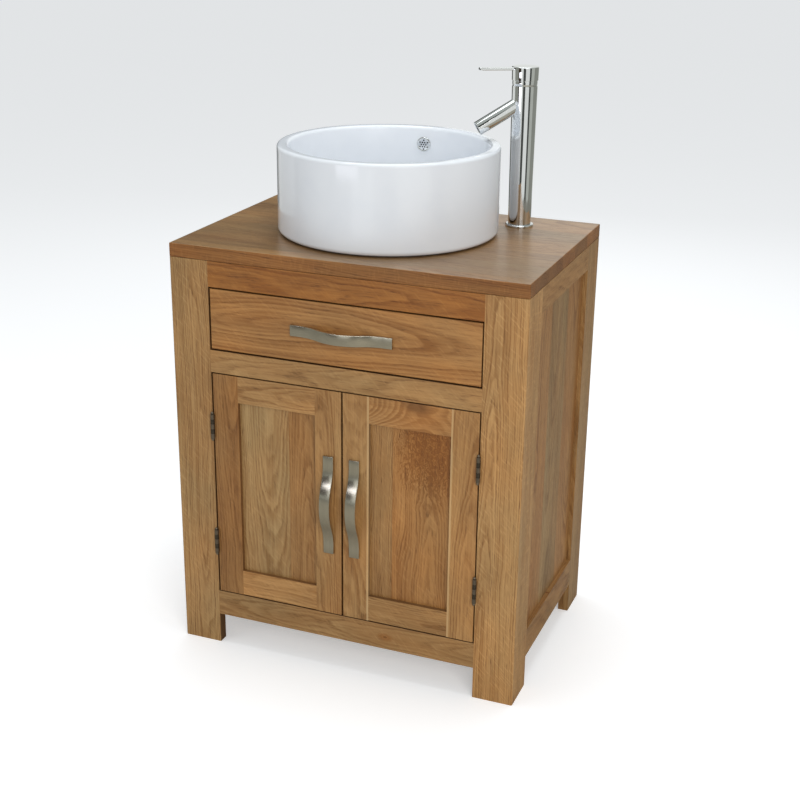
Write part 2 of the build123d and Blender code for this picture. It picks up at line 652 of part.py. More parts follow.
def make_tap_fixings():
    under = -TOP_THICK
    ports = [Pos(x, 0, 0) * rod(4.5, -50, -36) for x in (-6.5, 6.5)]
    shank = rod(SHANK_R, -48, 19) - ports[0] - ports[1]
    plate = rod(24, under - WASHER_THICK, under) - rod(SHANK_R + 0.5, under - 4, under + 1)
    plate = plate - block((-30, 0), (-SHANK_R - 0.5, SHANK_R + 0.5), (under - 4, under + 1))
    nut = Pos(0, 0, under - WASHER_THICK - NUT_THICK) * extrude(RegularPolygon(21, 6), NUT_THICK)
    return {
        "tap_shank": shank,
        "tap_fixing_plate": plate,
        "tap_backnut": nut - rod(SHANK_R + FIT, under - 14, under - 2),
    }


def make_tap_head():
    """The rotor turns in the body; the cap and lever tilt on the rotor's cross pin."""
    pin_r = 2
    stem_r = 5
    fork = rod(13, 246.3, 255.5)
    for side in (-1, 1):
        fork = fork + block((-5, 5), both(stem_r + 0.2, 9.6, side), (255.5, 267.5))
    pin = Pos(0, 0, TAP_PIVOT_Z) * Rot(90, 0, 0) * Cylinder(pin_r, 19)
    pin_hole = Pos(0, 0, TAP_PIVOT_Z) * Rot(90, 0, 0) * Cylinder(pin_r + FIT, 30)
    cap = Pos(0, 0, (CAP_LOW + TAP_HIGH) / 2) * Cone(CAP_R, CAP_R + 0.4, TAP_HIGH - CAP_LOW)
    cap = rounded(cap, 1.5, lambda c: c.Z > TAP_HIGH - 0.1)
    cap = cap - Pos(0, 0, TAP_PIVOT_Z) * Sphere(DOME_R + CAP_GAP)
    cap = cap + rod(stem_r, TAP_PIVOT_Z, TAP_HIGH - 3) + Pos(0, 0, TAP_PIVOT_Z) * Sphere(stem_r)
    low, high = TAP_HIGH - 6.5, TAP_HIGH - 1.5
    plan = [(14, -6), (LEVER_REACH, -4.5), (LEVER_REACH, 4.5), (14, 6)]
    bar = extrude(make_face(FilletPolyline(*plan, radius=[0, 3, 3, 0], close=True)), high - low)
    bar = Pos(0, 0, low) * bar
    bar = rounded(bar, 1, lambda c: c.X > 30 and abs(c.Z - high) < 0.1)
    tip = Pos(LEVER_REACH - 3, 0, TAP_HIGH - 2) * Rot(90, 0, 0) * Cylinder(2, 7)
    lever = bar + tip
    return {
        "cartridge_rotor": group(fork - pin_hole, pin),
        "tap_cap": cap - pin_hole - lever,
        "tap_lever": lever,
    }


# ---- Assembly ----
def make_nodes():
    nodes = {"worktop": make_worktop()}
    nodes.update(make_rails())
    front_rails = [nodes[name] for name in ("front_top_rail", "front_mid_rail", "front_bottom_rail")]
    side_rails = []
    for side, word in ((-1, "left"), (1, "right")):
        panel = make_side_panel(side)
        rails = make_side_rails(side, panel)
        side_rails += rails
        let_in = rails + [panel]
        nodes["side_panel_" + word] = panel
        nodes["front_leg_" + word] = make_leg(side, False, front_rails + let_in)
        nodes["rear_leg_" + word] = make_leg(side, True, [nodes["rear_rails"]] + let_in)
        nodes.update(make_door(side))
    nodes["side_rails"] = group(*side_rails)
    nodes["back_panel"] = make_back_panel()
    nodes["cabinet_floor"] = block((-SIDE + BOARD, SIDE - BOARD), deep(BOARD, DEPTH - BOARD),
                                   (DOOR_BOTTOM - FLOOR_THICK, DOOR_BOTTOM))
    nodes["drawer_runners"] = make_drawer_runners()
    nodes["worktop_brackets"] = make_worktop_brackets()
    nodes["door_magnets"] = group(*[
        block(both(*MAGNET_SPAN, side), deep(BOARD + 2, BOARD + 2 + MAGNET_DEPTH),
              (DOOR_BOTTOM, DOOR_BOTTOM + MAGNET_HIGH))
        for side in (-1, 1)])
    corners = [(side, height) for side in (-1, 1) for height in HINGE_HEIGHTS]
    nodes["hinge_frame_leaves"] = group(*[
        hinge_leaf(side, height, OPENING, (0, 2, 4)) for side, height in corners])
    nodes["hinge_pins"] = group(*[hinge_pin(side, height) for side, height in corners])
    nodes.update(make_drawer())
    nodes.update(make_basin())
    nodes.update(make_waste())
    nodes.update(make_trap())
    for make in (make_tap_body, make_tap_fixings, make_tap_head):
        for name, part in make().items():
            nodes[name] = AT_TAP * part
    return nodes


os.makedirs("parts", exist_ok=True)
for node_name, node in make_nodes().items():
    export_step(group(node), f"parts/{node_name}.step")
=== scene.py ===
import json
import math

import bmesh
import bpy
from mathutils import Matrix, Vector


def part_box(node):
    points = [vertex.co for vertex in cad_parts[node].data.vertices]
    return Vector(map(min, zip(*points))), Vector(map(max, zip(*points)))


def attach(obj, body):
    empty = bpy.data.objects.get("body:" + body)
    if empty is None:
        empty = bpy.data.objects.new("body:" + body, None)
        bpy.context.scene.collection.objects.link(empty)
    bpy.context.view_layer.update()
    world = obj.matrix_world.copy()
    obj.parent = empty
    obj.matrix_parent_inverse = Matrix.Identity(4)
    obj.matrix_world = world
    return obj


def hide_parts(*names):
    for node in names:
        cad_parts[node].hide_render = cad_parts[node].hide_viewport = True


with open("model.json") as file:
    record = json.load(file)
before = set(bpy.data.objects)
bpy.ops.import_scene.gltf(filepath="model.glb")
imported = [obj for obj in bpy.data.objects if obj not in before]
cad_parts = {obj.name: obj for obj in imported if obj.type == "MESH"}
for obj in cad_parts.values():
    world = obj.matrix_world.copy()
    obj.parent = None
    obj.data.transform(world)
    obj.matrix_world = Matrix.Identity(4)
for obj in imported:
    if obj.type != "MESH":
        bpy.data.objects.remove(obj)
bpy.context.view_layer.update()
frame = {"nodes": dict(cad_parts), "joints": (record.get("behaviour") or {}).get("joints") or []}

bl_info = {
    "name": "Vanity unit with vessel basin",
    "version": (1, 0, 0),
    "blender": (4, 5, 0),
    "location": "View3D > Sidebar > Vanity",
    "description": "Builds the looks of an oak vanity unit with a round basin and a tall mixer tap",
    "category": "Object",
}

GAP_SHADE_FULL, GAP_SHADE_NONE = 0.258, 0.262     # across from the middle: the painted shade beside the gaps fades out between
PLY_PITCH = 0.0032
ROUND_SIDES = 96
TAP_PIVOT = Vector(next(j for j in frame["joints"] if j["name"] == "tap_lift")["pos_m"])


def middle_of(node):
    low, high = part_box(node)
    return (low + high) / 2


WORKTOP_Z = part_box("worktop")[1].z
TAP_FOOT = Vector((TAP_PIVOT.x, TAP_PIVOT.y, WORKTOP_Z))
BASIN_CENTRE = Vector((middle_of("basin_bowl").x, middle_of("basin_bowl").y, WORKTOP_Z))


# ---- Settings a user would change ----
def length(name, description, default):
    return bpy.props.FloatProperty(
        name=name, description=description, default=default, unit="LENGTH", subtype="DISTANCE", precision=4
    )


def angle(name, description, degrees):
    return bpy.props.FloatProperty(
        name=name, description=description, default=math.radians(degrees), unit="ROTATION", subtype="ANGLE"
    )


def share(name, description, default, most=1.0):
    return bpy.props.FloatProperty(
        name=name, description=description, default=default, min=0.0, max=most, subtype="FACTOR"
    )


def colour(name, description, default):
    return bpy.props.FloatVectorProperty(
        name=name, description=description, default=default, size=3, min=0.0, max=1.0, subtype="COLOR"
    )


class VanityOak(bpy.types.PropertyGroup):
    pale: colour("Pale wood", "Dense late wood between the pore rows", (0.45, 0.255, 0.096))
    deep: colour("Deep wood", "Open early wood", (0.27, 0.128, 0.038))
    pore: colour("Pores", "Inside of the open pores", (0.10, 0.042, 0.013))
    # painted shade: this colour darkens the worktop's faces that don't face up, against its top
    edge: colour("Worktop edge shade", "Painted shade over the worktop's edges", (0.88, 0.67, 0.47))
    sap: colour("Sapwood", "Pale strip along some edges", (0.58, 0.39, 0.19))
    ring: length("Ring width", "Thickness of one year's growth", 0.0036)
    lacquer: share("Lacquer", "Weight of the satin lacquer coat", 0.12)


class VanityMetals(bpy.types.PropertyGroup):
    chrome: colour("Chrome", "Plating of the tap and waste", (0.78, 0.79, 0.79))
    nickel: colour("Brushed nickel", "Handles", (0.60, 0.56, 0.47))
    bronze: colour("Aged bronze", "Hinges", (0.15, 0.125, 0.095))


class VanityBasin(bpy.types.PropertyGroup):
    radius: length("Radius", "Outside of the basin", 0.2)
    height: length("Height", "Rim above the worktop", 0.16)
    lift: length("Lift", "Gasket under the basin", 0.002)
    rim: length("Rim", "Thickness of the wall at the rim", 0.02)
    taper: length("Taper", "How much the inside narrows towards the floor", 0.008)
    floor: length("Floor", "Inside floor above the worktop", 0.024)
    foot_round: length("Foot rounding", "Radius under the wall", 0.009)
    corner_round: length("Inside rounding", "Radius between the wall and the floor", 0.05)
    glaze: colour("Glaze", "White fired glaze", (0.80, 0.825, 0.86))


class VanityTap(bpy.types.PropertyGroup):
    foot_radius: length("Foot radius", "Body at the base ring", 0.021)
    neck_radius: length("Neck radius", "Body under the cap", 0.0232)
    neck_height: length("Neck height", "Where the neck starts to round in", 0.256)
    ball_radius: length("Ball radius", "Rounded neck inside the cap", 0.0228)
    ring_radius: length("Ring radius", "Base ring", 0.026)
    ring_height: length("Ring height", "Base ring", 0.005)
    cap_radius: length("Cap radius", "Cap that carries the lever", 0.0244)
    height: length("Height", "Top of the cap above the worktop", 0.29)
    spout_radius: length("Spout radius", "Outside of the spout", 0.013)
    spout_height: length("Spout height", "Where the spout's axis meets the body's", 0.2299)
    spout_length: length("Spout length", "Along its axis from the body's axis", 0.0986)
    spout_drop: angle("Spout drop", "Slope of the spout below level", 30)
    direction: angle("Direction", "Turn of the spout and lever about the upright axis", 213)
    lever_reach: length("Lever reach", "End of the lever from the body's axis", 0.0857)


class VanityHandle(bpy.types.PropertyGroup):
    span: length("Length", "End to end", 0.19)
    width: length("Width", "Across the strap", 0.02)
    thick: length("Thickness", "Of the strap", 0.005)
    rise: length("Rise", "Finger room under the crown", 0.019)
    flat: length("Flat", "Distance from the middle at which the flat feet start", 0.079)


class VanityScrew(bpy.types.PropertyGroup):
    radius: length("Head radius", "Countersunk head", 0.0026)
    dome: length("Dome", "Height of the head above the leaf", 0.0003)
    slot: length("Slot", "Width of the driver slot", 0.0007)
    leaf: length("Leaf height", "Height of the hinge leaf that the screws share", 0.047)
    gap: length("Leaf gap", "Between the two leaves of a closed hinge", 0.0024)


class VanityStage(bpy.types.PropertyGroup):
    camera_place: bpy.props.FloatVectorProperty(
        name="Camera", description="Place of the camera", default=(0.93036, -2.31202, 1.39994), size=3,
        unit="LENGTH", subtype="TRANSLATION",
    )
    azimuth: angle("Azimuth", "Camera's turn round the unit", 21.377)
    elevation: angle("Elevation", "Camera's height above level", 20.643)
    roll: angle("Roll", "Camera's roll", 0.699)
    lens: bpy.props.FloatProperty(
        name="Lens", description="Focal length", default=63.685, unit="CAMERA"
    )
    floor: colour("Floor", "Pale floor", (0.86, 0.86, 0.86))
    floor_in_gloss: colour("Floor in gloss", "Floor as polished pieces mirror it", (0.40, 0.38, 0.32))
    floor_glow: share("Floor glow", "Light of its own that keeps the floor pale", 0.36)
    room_in_gloss: colour("Room in gloss", "Surroundings as polished pieces mirror them", (0.42, 0.45, 0.43))
    sky: share("Sky", "Even light from all round", 0.50)
    key: share("Key lamp", "Watts of the lamp in front on the right", 32.0, 500.0)
    fill: share("Fill lamp", "Watts of the lamp in front on the left", 8.0, 500.0)
    back: share("Back lamp", "Watts of the lamp behind", 7.0, 500.0)
    top: share("Top lamp", "Watts of the lamp overhead", 38.0, 500.0)


# ---- Modelling helpers ----
def clear_selection():
    if bpy.context.mode != "OBJECT":
        bpy.ops.object.mode_set(mode="OBJECT")
    bpy.ops.object.select_all(action="DESELECT")


def select_only(obj):
    clear_selection()
    obj.select_set(True)
    bpy.context.view_layer.objects.active = obj


def named(name):
    obj = bpy.context.active_object
    obj.name = name
    obj.data.name = name
    return obj


def copied(obj):
    select_only(obj)
    bpy.ops.object.duplicate()
    return bpy.context.active_object


def joined(pieces):
    clear_selection()
    for piece in pieces:
        piece.select_set(True)
    bpy.context.view_layer.objects.active = pieces[0]
    bpy.ops.object.join()
    return bpy.context.active_object


def remove(obj):
    select_only(obj)
    bpy.ops.object.delete()


def bar(name, centre, size):
    """A straight bar to shape further, its size written into its mesh."""
    clear_selection()
    bpy.ops.mesh.primitive_cube_add(size=1, location=centre)
    obj = named(name)
    obj.scale = size
    bpy.ops.object.transform_apply(location=True, rotation=True, scale=True)
    return obj


def edit(obj):
    select_only(obj)
    bpy.ops.object.mode_set(mode="EDIT")
    bpy.ops.mesh.select_mode(type="FACE")
    bpy.ops.mesh.select_all(action="DESELECT")


def pick_faces(obj, test):
    """In edit mode, selects the faces whose centre and normal pass the test."""
    mesh = bmesh.from_edit_mesh(obj.data)
    mesh.normal_update()
    for face in mesh.faces:
        if test(face.calc_center_median(), face.normal):
            face.select_set(True)
    bmesh.update_edit_mesh(obj.data)


def pick_edges(obj, test):
    """In edit mode, selects the edges whose two ends pass the test."""
    bpy.ops.mesh.select_mode(type="EDGE")
    mesh = bmesh.from_edit_mesh(obj.data)
    for edge in mesh.edges:
        if test(edge.verts[0].co, edge.verts[1].co):
            edge.select_set(True)
    bmesh.update_edit_mesh(obj.data)


def finish_shape(obj, smooth=30, place=None):
    """Outward normals, smooth shading and the piece's place written into its mesh."""
    edit(obj)
    bpy.ops.mesh.select_all(action="SELECT")
    bpy.ops.mesh.remove_doubles(threshold=1e-6)
    bpy.ops.mesh.normals_make_consistent(inside=False)
    bpy.ops.object.mode_set(mode="OBJECT")
    if place is not None:
        obj.matrix_world = place @ obj.matrix_world
    bpy.ops.object.transform_apply(location=True, rotation=True, scale=True)
    bpy.ops.object.shade_smooth_by_angle(angle=math.radians(smooth))
    return obj


def rounded_outline(corners, steps=6):
    """An outline of (radius, height, rounding) corners with the roundings drawn as arcs."""
    points = []
    for index, (x, z, rounding) in enumerate(corners):
        here = Vector((x, z))
        if rounding == 0 or index in (0, len(corners) - 1):
            points.append(here)
            continue
        before = (Vector(corners[index - 1][:2]) - here).normalized()
        after = (Vector(corners[index + 1][:2]) - here).normalized()
        half = before.angle(after) / 2
        reach = rounding / math.tan(half)
        centre = here + (before + after).normalized() * (rounding / math.sin(half))
        start = here + before * reach - centre
        end = here + after * reach - centre
        sweep = start.angle_signed(end)
        for step in range(steps + 1):
            turn = -sweep * step / steps
            points.append(centre + Matrix.Rotation(turn, 2) @ start)
    return [(point.x, point.y) for point in points]


def turned_piece(name, outline, at=(0, 0, 0), around=ROUND_SIDES):
    """A round piece drawn out of a disc: each step of the outline extrudes and scales its cap."""
    at = Vector(at)
    radius, height = outline[0]
    clear_selection()
    bpy.ops.mesh.primitive_circle_add(
        vertices=around, radius=radius, fill_type="NGON", location=at + Vector((0, 0, height))
    )
    obj = named(name)
    bpy.ops.object.mode_set(mode="EDIT")
    bpy.ops.mesh.select_all(action="SELECT")
    for (radius, height), (next_radius, next_height) in zip(outline, outline[1:]):
        bpy.ops.mesh.extrude_region_move(
            TRANSFORM_OT_translate={"value": (0, 0, next_height - height)}
        )
        growth = next_radius / radius
        if abs(growth - 1) > 1e-7:
            bpy.ops.transform.resize(
                value=(growth, growth, 1), center_override=at + Vector((0, 0, next_height))
            )
    bpy.ops.object.mode_set(mode="OBJECT")
    return obj


def cut_away(obj, cutter, name):
    """Cuts the cutter's shape out of the piece and deletes the cutter."""
    select_only(obj)
    cut = obj.modifiers.new(name, "BOOLEAN")
    cut.operation = "DIFFERENCE"
    cut.solver = "EXACT"
    cut.object = cutter
    bpy.ops.object.modifier_apply(modifier=cut.name)
    remove(cutter)


def give(obj, material, body, slot, *stands_for):
    """The piece's finish, its body and the node that it stands for; the record's slot is not used."""
    obj.data.materials.clear()
    obj.data.materials.append(material)
    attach(obj, body)
    if stands_for:
        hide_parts(*stands_for)


# ---- Node wiring ----
MIX_FIRST_COLOUR, MIX_SECOND_COLOUR = 6, 7      # a Mix node's sockets for colours
MIX_COLOUR = 2


class Wiring:
    """Adds nodes to a tree and joins them, so that a finish reads from top to bottom."""

    def __init__(self, tree):
        self.tree = tree

    def node(self, kind, **settings):
        made = self.tree.nodes.new(kind)
        for key, value in settings.items():
            setattr(made, key, value)
        return made

    def feed(self, socket, value):
        if isinstance(value, bpy.types.NodeSocket):
            self.tree.links.new(value, socket)
        elif value is not None:
            if socket.type == "RGBA" and len(value) == 3:
                value = (*value, 1.0)
            socket.default_value = value

    def math(self, operation, *values, clamp=False):
        made = self.node("ShaderNodeMath", operation=operation, use_clamp=clamp)
        for socket, value in zip(made.inputs, values):
            self.feed(socket, value)
        return made.outputs[0]

    def vector(self, operation, *values):
        made = self.node("ShaderNodeVectorMath", operation=operation)
        for socket, value in zip(made.inputs, values):
            self.feed(socket, value)
        return made.outputs["Value" if operation in ("LENGTH", "DISTANCE") else "Vector"]

    def times(self, first, second, clamp=False):
        return self.math("MULTIPLY", first, second, clamp=clamp)

    def plus(self, first, second, clamp=False):
        return self.math("ADD", first, second, clamp=clamp)

    def minus(self, first, second, clamp=False):
        return self.math("SUBTRACT", first, second, clamp=clamp)

    def rest(self, value):
        """What is left of one."""
        return self.minus(1.0, value)

    def centred(self, value):
        """A value from 0 to 1 moved to lie about nought."""
        return self.minus(value, 0.5)

    def total(self, value, *parts):
        """The value with each part added by its weight."""
        for part, weight in parts:
            value = self.plus(value, self.times(part, weight))
        return value

    def scaled(self, vector, amount):
        made = self.vector("SCALE", vector)
        self.feed(made.node.inputs["Scale"], amount)
        return made

    def reach(self, along, across, from_along, from_across, squeeze):
        """Distance from a spot on the board, shorter along the grain by the given squeeze."""
        offset = self.times(self.minus(along, from_along), squeeze)
        return self.vector("LENGTH", self.join(offset, self.minus(across, from_across), 0.0))

    def split(self, vector):
        made = self.node("ShaderNodeSeparateXYZ")
        self.feed(made.inputs[0], vector)
        return made.outputs[0], made.outputs[1], made.outputs[2]

    def join(self, x, y, z):
        made = self.node("ShaderNodeCombineXYZ")
        for socket, value in zip(made.inputs, (x, y, z)):
            self.feed(socket, value)
        return made.outputs[0]

    def noise(self, vector, scale=1.0, detail=2.0, roughness=0.5, output="Fac", stretch=None):
        made = self.node("ShaderNodeTexNoise")
        if stretch:
            vector = self.vector("MULTIPLY", vector, stretch)
        self.feed(made.inputs["Vector"], vector)
        self.feed(made.inputs["Scale"], scale)
        self.feed(made.inputs["Detail"], detail)
        self.feed(made.inputs["Roughness"], roughness)
        return made.outputs[output]

    def random(self, value, output="Color"):
        made = self.node("ShaderNodeTexWhiteNoise", noise_dimensions="1D")
        self.feed(made.inputs["W"], value)
        return made.outputs[output]

    def span(self, value, low, high, to_low=0.0, to_high=1.0, smooth=True):
        made = self.node(
            "ShaderNodeMapRange", interpolation_type="SMOOTHSTEP" if smooth else "LINEAR"
        )
        for name, amount in (
            ("Value", value), ("From Min", low), ("From Max", high), ("To Min", to_low), ("To Max", to_high)
        ):
            self.feed(made.inputs[name], amount)
        return made.outputs["Result"]

    def blend(self, factor, first, second):
        made = self.node("ShaderNodeMix", data_type="RGBA")
        self.feed(made.inputs["Factor"], factor)
        self.feed(made.inputs[MIX_FIRST_COLOUR], first)
        self.feed(made.inputs[MIX_SECOND_COLOUR], second)
        return made.outputs[MIX_COLOUR]

    def group(self, tree, **values):
        made = self.node("ShaderNodeGroup")
        made.node_tree = tree
        for name, value in values.items():
            self.feed(made.inputs[name.replace("_", " ")], value)
        return made.outputs


def new_group(name, inputs, outputs):
    """An empty node group with its sockets; returns its wiring and the sockets of its two end nodes.

    An input's default tells its kind: None for a place, a number, or the parts of a colour.
    """
    tree = bpy.data.node_groups.new(name, "ShaderNodeTree")
    kinds = {"value": "NodeSocketFloat", "vector": "NodeSocketVector", "colour": "NodeSocketColor"}
    for label, default in inputs.items():
        kind = "vector" if default is None else "colour" if isinstance(default, tuple) else "value"
        socket = tree.interface.new_socket(label, in_out="INPUT", socket_type=kinds[kind])
        if default is not None:
            socket.default_value = default
    for label, kind in outputs.items():
        tree.interface.new_socket(label, in_out="OUTPUT", socket_type=kinds[kind])
    wiring = Wiring(tree)
    return wiring, wiring.node("NodeGroupInput").outputs, wiring.node("NodeGroupOutput").inputs


def oak_grain_group():
    """Growth rings about a pith that lies askew under each board, with pores, flecks, a knot and a burl."""
    w, given, out = new_group(
        "Oak grain",
        {
            "Place": None, "Board Width": 10.0, "Seed": 0.0, "Ring Width": 0.004, "Pith Depth": 0.05,
            "Lean": 0.05, "Curl": 1.0, "Contrast": 1.0, "Board Spread": 0.1, "Odd Tone": 1.0,
            "Odd Redness": 0.0, "Fleck": 0.25, "Knot": None, "Knot Size": 0.0001, "Burl": None,
            "Burl Size": 0.0001, "Sap Place": 9.0, "Sap Width": 0.006, "Pale": (0.5, 0.3, 0.15, 1),
            "Deep": (0.3, 0.16, 0.07, 1), "Pore": (0.1, 0.05, 0.02, 1), "Sap": (0.6, 0.4, 0.2, 1),
            "Tone": 1.0, "Redness": 0.0,
        },
        {"Color": "colour", "Roughness": "value", "Height": "value"},
    )
    along, across, depth = w.split(given["Place"])
    board = w.math("FLOOR", w.plus(w.math("DIVIDE", across, given["Board Width"]), 0.5))
    odd = w.math("PINGPONG", board, 1.0)
    local = w.minus(across, w.times(board, given["Board Width"]))
    drawn = w.random(w.plus(w.times(given["Seed"], 7.31), w.times(board, 3.17)))
    chance_a, chance_b, chance_c = w.split(drawn)
    centred_a = w.centred(chance_a)
    centred_b = w.centred(chance_b)
    centred_c = w.centred(chance_c)
    shift = w.scaled(drawn, 19.0)
    moved = w.vector("ADD", w.join(along, local, depth), shift)

    slow = w.noise(moved, stretch=(1.8, 7.0, 7.0), detail=2.0, output="Color")
    slow_x, slow_y, slow_z = w.split(w.vector("SUBTRACT", slow, (0.5, 0.5, 0.5)))
    quick = w.centred(w.noise(moved, stretch=(14.0, 42.0, 42.0), detail=3.0))
    curl = given["Curl"]
    sway = w.times(w.times(slow_x, 0.06), curl)
    heave = w.times(w.times(slow_y, 0.05), curl)

    burl_x, burl_y, _ = w.split(given["Burl"])
    burl_reach = w.reach(along, across, burl_x, burl_y, 0.6)
    burl_reach = w.plus(burl_reach, w.times(w.plus(slow_z, quick), 0.05))
    burl = w.span(burl_reach, given["Burl Size"], w.times(given["Burl Size"], 0.1))
    burl = w.times(burl, w.math("GREATER_THAN", given["Burl Size"], 0.001))
    whorl = w.noise(moved, stretch=(30.0, 46.0, 30.0), detail=3.0, roughness=0.5)
    curls = w.span(w.math("SINE", w.times(whorl, 58.0)), 0.1, 0.95)
    whorl = w.times(w.times(w.centred(whorl), 0.08), burl)
    ripple = w.times(w.times(quick, 0.006), curl)

    knot_x, knot_y, _ = w.split(given["Knot"])
    knot_size = given["Knot Size"]
    knot_reach = w.plus(w.reach(along, across, knot_x, knot_y, 0.55), ripple)
    swirl = w.rest(w.span(knot_reach, 0.0, w.times(knot_size, 4.5)))
    core = w.rest(w.span(knot_reach, w.times(knot_size, 0.25), knot_size))

    pith_across = w.plus(w.minus(local, w.times(centred_a, 0.05)), sway)
    sunk = w.times(given["Pith Depth"], w.plus(1.0, centred_b))
    leaned = w.times(w.times(along, given["Lean"]), w.math("SIGN", centred_c))
    pith_deep = w.plus(w.plus(w.plus(depth, sunk), leaned), heave)
    ring = w.vector("LENGTH", w.join(0.0, pith_across, pith_deep))
    ring = w.plus(w.plus(ring, ripple), w.times(swirl, 0.03))
    ring = w.plus(ring, whorl)
    year = w.math("DIVIDE", ring, given["Ring Width"])
    count = w.math("FLOOR", year)
    phase = w.minus(year, count)
    year_chance = w.random(w.plus(count, given["Seed"]), output="Value")
    early = w.rest(w.span(phase, 0.15, 0.95))
    early = w.times(early, w.span(phase, 0.0, 0.22))
    early = w.times(early, w.plus(0.3, year_chance))
    decade = w.noise(w.join(w.times(ring, 75.0), w.times(along, 1.2), given["Seed"]))

    streak = w.noise(moved, stretch=(8.0, 230.0, 230.0), detail=3.0, roughness=0.6)
    broad = w.noise(moved, stretch=(2.2, 17.0, 17.0), detail=2.0)
    cloud = w.noise(moved, stretch=(6.0, 13.0, 13.0), detail=2.0, output="Color")
    cloud_red, cloud_level, _ = w.split(cloud)
    fibre = w.noise(moved, stretch=(42.0, 900.0, 900.0), detail=1.0)
    dash = w.noise(moved, stretch=(55.0, 430.0, 430.0), detail=2.0)
    pores = w.times(w.span(fibre, 0.58, 0.72), w.plus(0.3, w.times(early, 0.8)))
    dashes = w.times(w.span(dash, 0.54, 0.70), w.plus(0.25, w.times(early, 0.5)))
    pores = w.plus(pores, w.times(dashes, 0.7))
    slanted = w.plus(across, w.times(along, 0.9))
    rays = w.join(w.times(along, 60.0), w.times(slanted, 260.0), w.times(depth, 60.0))
    rays = w.noise(rays, detail=1.0)
    rays = w.times(w.span(rays, 0.56, 0.70), given["Fleck"])

    figure = w.total(w.times(early, 0.55), (w.centred(decade), 1.2), (w.centred(streak), 1.3),
                     (w.centred(broad), 0.7))
    figure = w.times(figure, given["Contrast"])
    lively = w.times(w.plus(burl, swirl), w.plus(early, 0.2))
    lively = w.total(lively, (w.times(curls, burl), 1.2))
    figure = w.plus(w.minus(figure, rays), lively)
    figure = w.plus(figure, 0.30, clamp=True)
    wood = w.blend(figure, given["Pale"], given["Deep"])
    wood = w.blend(w.times(pores, 0.62, clamp=True), wood, given["Pore"])
    wood = w.blend(w.times(swirl, 0.3), wood, given["Deep"])
    wood = w.blend(w.times(core, 0.65), wood, given["Pore"])
    inwards = w.times(local, w.rest(w.times(odd, 2.0)))
    sapwood = w.math("ABSOLUTE", w.minus(inwards, given["Sap Place"]))
    sapwood = w.span(w.plus(sapwood, w.times(quick, 0.003)), given["Sap Width"],
                     w.times(given["Sap Width"], 0.5))
    wood = w.blend(w.times(sapwood, 0.75), wood, given["Sap"])

    tint = w.total(given["Redness"], (centred_c, given["Board Spread"]), (odd, given["Odd Redness"]),
                   (w.centred(cloud_red), 1.3), (w.plus(burl, swirl), 0.8))
    red = w.join(w.total(1.0, (tint, 0.16)), w.rest(w.times(tint, 0.06)), w.rest(w.times(tint, 0.30)))
    level = w.total(1.0, (centred_b, w.times(given["Board Spread"], 2.0)), (w.centred(cloud_level), 0.45))
    level = w.times(level, given["Tone"])
    level = w.times(level, w.total(1.0, (odd, w.minus(given["Odd Tone"], 1.0))))
    level = w.times(level, w.rest(w.times(burl, 0.22)))
    toned = w.scaled(w.vector("MULTIPLY", wood, red), level)
    seam = w.minus(w.times(given["Board Width"], 0.5), w.math("ABSOLUTE", local))
    seam = w.rest(w.span(seam, 0.0001, 0.0006))
    toned = w.blend(w.times(seam, 0.35), toned, (0.10, 0.045, 0.015))
    w.feed(out["Color"], toned)
    rough = w.plus(0.40, w.times(pores, 0.3))
    w.feed(out["Roughness"], w.plus(rough, w.times(w.centred(broad), 0.16)))
    height = w.minus(0.5, w.times(pores, 0.5))
    height = w.minus(height, w.times(early, 0.15))
    w.feed(out["Height"], w.minus(height, w.times(seam, 0.4)))


def smudge_group():
    """Soft uneven handling marks for plated and glazed surfaces."""
    w, given, out = new_group(
        "Smudges",
        {"Place": None, "Scale": 30.0, "Clean": 0.05, "Marked": 0.12},
        {"Roughness": "value", "Height": "value", "Mask": "value"},
    )
    cloud = w.noise(given["Place"], given["Scale"], detail=3.0, roughness=0.6)
    fine = w.noise(given["Place"], w.times(given["Scale"], 9.0), detail=2.0)
    mask = w.times(w.span(cloud, 0.42, 0.72), w.plus(0.6, w.times(fine, 0.8)))
    w.feed(out["Mask"], mask)
    w.feed(out["Roughness"], w.span(mask, 0.0, 1.0, given["Clean"], given["Marked"]))
    w.feed(out["Height"], cloud)


def brushed_group():
    """Fine scratches that run along X of the given place."""
    w, given, out = new_group(
        "Brushed lines",
        {"Place": None, "Base": 0.3, "Depth": 0.12},
        {"Roughness": "value", "Height": "value", "Shade": "value"},
    )
    lines = w.noise(given["Place"], stretch=(18.0, 2600.0, 2600.0), detail=3.0, roughness=0.7)
    wide = w.noise(given["Place"], stretch=(9.0, 420.0, 420.0), detail=2.0)
    mixed = w.plus(w.times(lines, 0.6), w.times(wide, 0.4))
    w.feed(out["Height"], mixed)
    w.feed(out["Shade"], w.span(mixed, 0.35, 0.65, 0.88, 1.08, smooth=False))
    w.feed(out["Roughness"], w.total(given["Base"], (w.centred(mixed), given["Depth"])))


def speckle_group():
    """Cast or moulded surface: cloudy tone with fine grit."""
    w, given, out = new_group(
        "Fine grit",
        {"Place": None, "Scale": 60.0, "Amount": 0.1},
        {"Shade": "value", "Height": "value"},
    )
    cloud = w.centred(w.noise(given["Place"], given["Scale"], detail=3.0))
    grit = w.centred(w.noise(given["Place"], w.times(given["Scale"], 25.0), detail=1.0))
    both = w.total(cloud, (grit, 0.6))
    w.feed(out["Shade"], w.total(1.0, (both, given["Amount"])))
    w.feed(out["Height"], grit)


